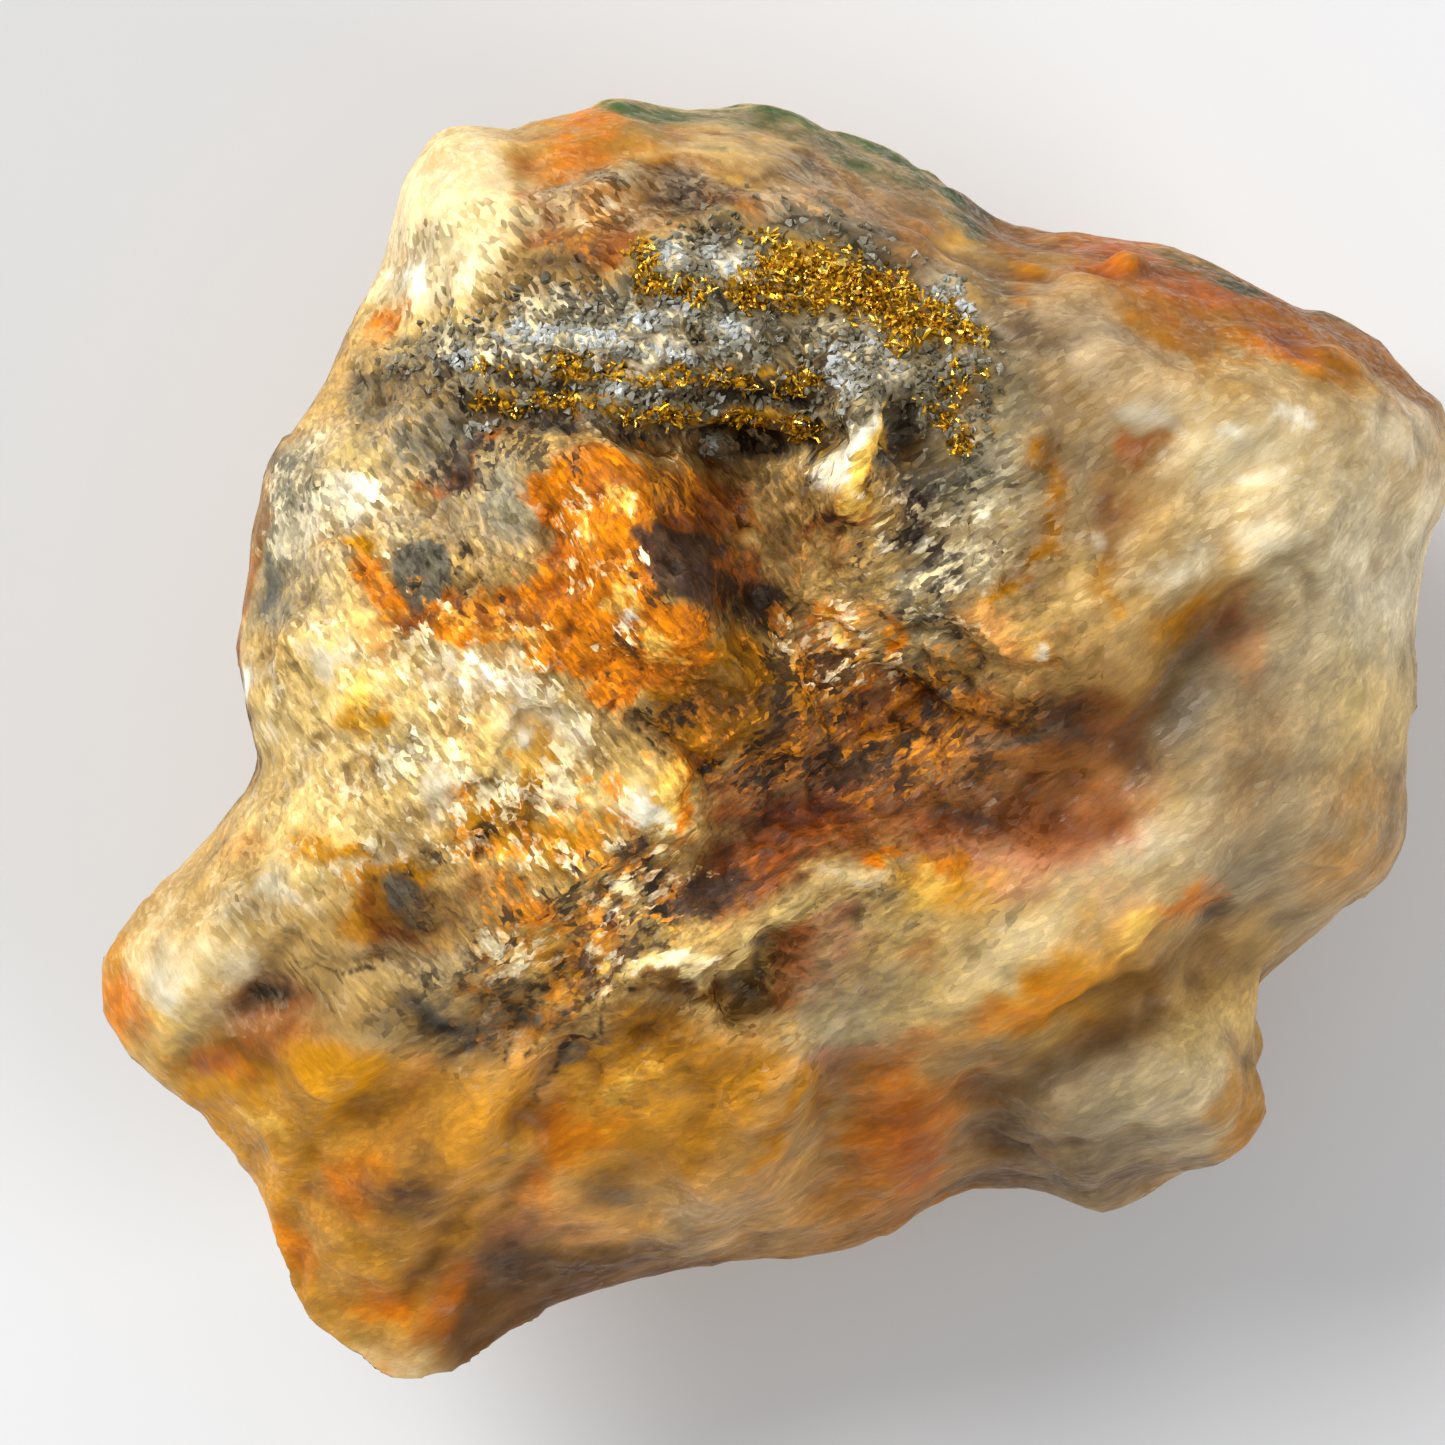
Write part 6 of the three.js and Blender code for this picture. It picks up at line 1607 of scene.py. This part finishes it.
# %% Gold seams
GOLD = {
    "upper_gold": [
        blot(-0.9, 13.7, 0.7, 0.55), blot(0.4, 13.95, 1.2, 0.75, -10), blot(1.9, 13.75, 1.2, 0.8, -22),
        blot(3.2, 13.2, 1.1, 0.68, -28), blot(4.4, 12.75, 0.9, 0.5, -24), blot(5.5, 12.4, 0.5, 0.32, -20),
        blot(-0.4, 15.0, 0.7, 0.26, -16, 0.7), streak(0.3, [(-4.3, 14.9), (-4.1, 14.2), (-3.5, 13.8), (-2.5, 13.65)], 0.8),
        blot(-4.0, 14.2, 0.4, 0.7, 0, 0.7), blot(3.5, 12.1, 0.5, 0.3, 0, 0.5), blot(-2.2, 14.0, 0.6, 0.2, 0, 0.4),
    ],
    "lower_gold": [
        blot(-9.1, 11.35, 0.4, 0.2, 15, 0.5), blot(-8.2, 11.25, 0.5, 0.2, 0, 0.6), blot(-6.4, 11.45, 0.6, 0.35, 0, 0.9),
        blot(-5.1, 11.15, 0.35, 0.28, 0, 0.8), blot(-4.2, 11.0, 0.4, 0.22, 0, 0.6), blot(-3.3, 11.0, 0.45, 0.28, 0, 0.8),
        blot(-1.9, 11.05, 0.4, 0.25, 0, 0.7), blot(-1.0, 10.85, 0.5, 0.25, 0, 0.6), blot(0.4, 10.85, 0.6, 0.3, 0, 0.9),
        blot(-8.8, 10.4, 0.35, 0.3), blot(-8.0, 10.2, 0.5, 0.25, 0, 0.8), blot(-7.2, 10.3, 0.4, 0.25, 0, 0.7),
        blot(-6.5, 10.3, 0.4, 0.3), blot(-5.8, 10.3, 0.3, 0.22, 0, 0.8), blot(-4.6, 9.95, 0.45, 0.28, -15),
        blot(-3.4, 9.95, 0.5, 0.28, 0), blot(-1.35, 9.9, 0.4, 0.28, 0, 0.9), blot(-0.5, 9.8, 0.5, 0.18, -8, 0.6),
        blot(0.75, 9.6, 0.45, 0.38), blot(0.5, 9.2, 0.3, 0.25, 0, 0.8), blot(-2.4, 9.9, 0.5, 0.15, 0, 0.4),
    ],
    "side_gold": [
        blot(5.45, 9.2, 0.45, 0.36), blot(4.9, 9.9, 0.4, 0.55, 0, 0.55), blot(5.25, 10.65, 0.35, 0.3, 0, 0.7),
        blot(5.1, 11.25, 0.3, 0.22, 0, 0.6), blot(6.0, 11.25, 0.3, 0.2, 0, 0.5), blot(4.2, 10.3, 0.3, 0.3, 0, 0.3),
    ],
}
GOLD_PER_MM2 = 100
skin_points, skin_normals = points_of(vein_quartz.data), normals_of(vein_quartz.data)
skin_place = picture_place(skin_points)
upward = ramp(0.0, 0.3, skin_normals[:, 2])
gold_wander = skin_place.copy()
gold_wander[:, 0] += 0.22 * rolling(skin_points, 0.8, 171)
gold_wander[:, 1] += 0.22 * rolling(skin_points, 0.8, 172)
gold_pieces = []
for number, (name, shapes) in enumerate(GOLD.items()):
    clumps = 0.55 + 0.75 * ramp(-0.2, 0.3, rolling(skin_points, 0.55, 181 + number))
    richness = upward * np.clip(mask_of(gold_wander, shapes) * clumps, 0, 1)
    gold_pieces.append(scattered(
        name, richness, gold_templates, native_gold, GOLD_PER_MM2, (0.12, 0.36), 0.26, 31 + number))

# %% Sugary quartz
SUGAR_WHITE = [
    blot(-3.2, 14.7, 0.5, 0.5), blot(-1.5, 14.45, 1.0, 0.4, -22), blot(-0.8, 14.0, 0.3, 0.3, 0, 0.6),
    blot(-2.9, 13.1, 0.45, 0.5), blot(-1.4, 12.4, 0.55, 0.5), blot(-4.2, 12.6, 1.0, 0.4, 10),
    blot(-7.4, 12.3, 1.0, 0.45), blot(-5.5, 12.1, 1.0, 0.4), blot(-3.6, 11.75, 1.4, 0.25),
    blot(1.5, 11.6, 1.2, 0.7, 10, 0.8), blot(3.5, 11.3, 0.6, 0.5, 0, 0.7), blot(5.0, 13.65, 0.5, 0.4),
    blot(5.4, 12.95, 0.3, 0.4, 30), blot(-1.9, 8.95, 0.5, 0.4), blot(2.8, 12.1, 0.2, 0.3, 30),
    blot(-9.6, 11.6, 0.7, 0.3, 40, 0.7), blot(-5.0, 10.6, 0.5, 0.18, 0, 0.8), blot(-1.8, 10.4, 0.4, 0.25, 40, 0.9),
    blot(-9.0, 9.6, 0.5, 0.3, 0, 0.7), blot(0.9, 10.2, 0.3, 0.25, 0, 0.6), blot(1.9, 10.7, 0.5, 0.5, 10, 0.8),
]
SUGAR_GREY = [
    blot(-9.6, 11.3, 2.0, 0.6, 0, 0.3), blot(-6.0, 12.4, 3.2, 1.2, 0, 0.6), blot(-1.8, 12.4, 3.2, 1.3, 0, 0.6),
    blot(2.2, 11.4, 2.0, 1.2, -10, 0.6), blot(4.8, 11.0, 1.6, 1.3, -30, 0.5), blot(-4.5, 10.5, 4.6, 0.7, -3, 0.5),
    blot(2.4, 15.0, 2.6, 0.4, -24, 0.25), blot(-2.4, 14.2, 1.6, 1.2, 0, 0.5), blot(5.8, 8.6, 1.0, 1.4, 0, 0.15),
]
whiteness = mask_of(gold_wander, SUGAR_WHITE)
sugar_richness = upward * np.maximum(whiteness, mask_of(gold_wander, SUGAR_GREY))
sugar_richness *= 0.5 + 0.7 * ramp(-0.3, 0.3, rolling(skin_points, 0.9, 191))
sugary_quartz = scattered(
    "sugary_quartz", np.clip(sugar_richness, 0, 1), sugar_templates, sugary_finish, 55,
    (0.16, 0.46), 0.07, 51, {"whiteness": whiteness})
for collection in (gold_templates, sugar_templates):
    for template in list(collection.objects):
        bpy.data.objects.remove(template)
    bpy.data.collections.remove(collection)
print("pieces:", [piece.name for piece in (vein_quartz, *gold_pieces, sugary_quartz)])

# %% [markdown]
# ## Attach the pieces
# Every piece rides on the one body. The quartz and the three gold pieces stand for their CAD
# nodes, and the sugary quartz is an extra piece on top.

# %% Pieces on the body
STANDS_FOR = {
    "vein_quartz": "quartz_matrix", "upper_gold": "gold_upper_seam",
    "lower_gold": "gold_lower_seam", "side_gold": "gold_side_cluster",
}
for piece in (vein_quartz, sugary_quartz, *gold_pieces):
    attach(piece, "root")
    if piece.name in STANDS_FOR:
        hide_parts(STANDS_FOR[piece.name])
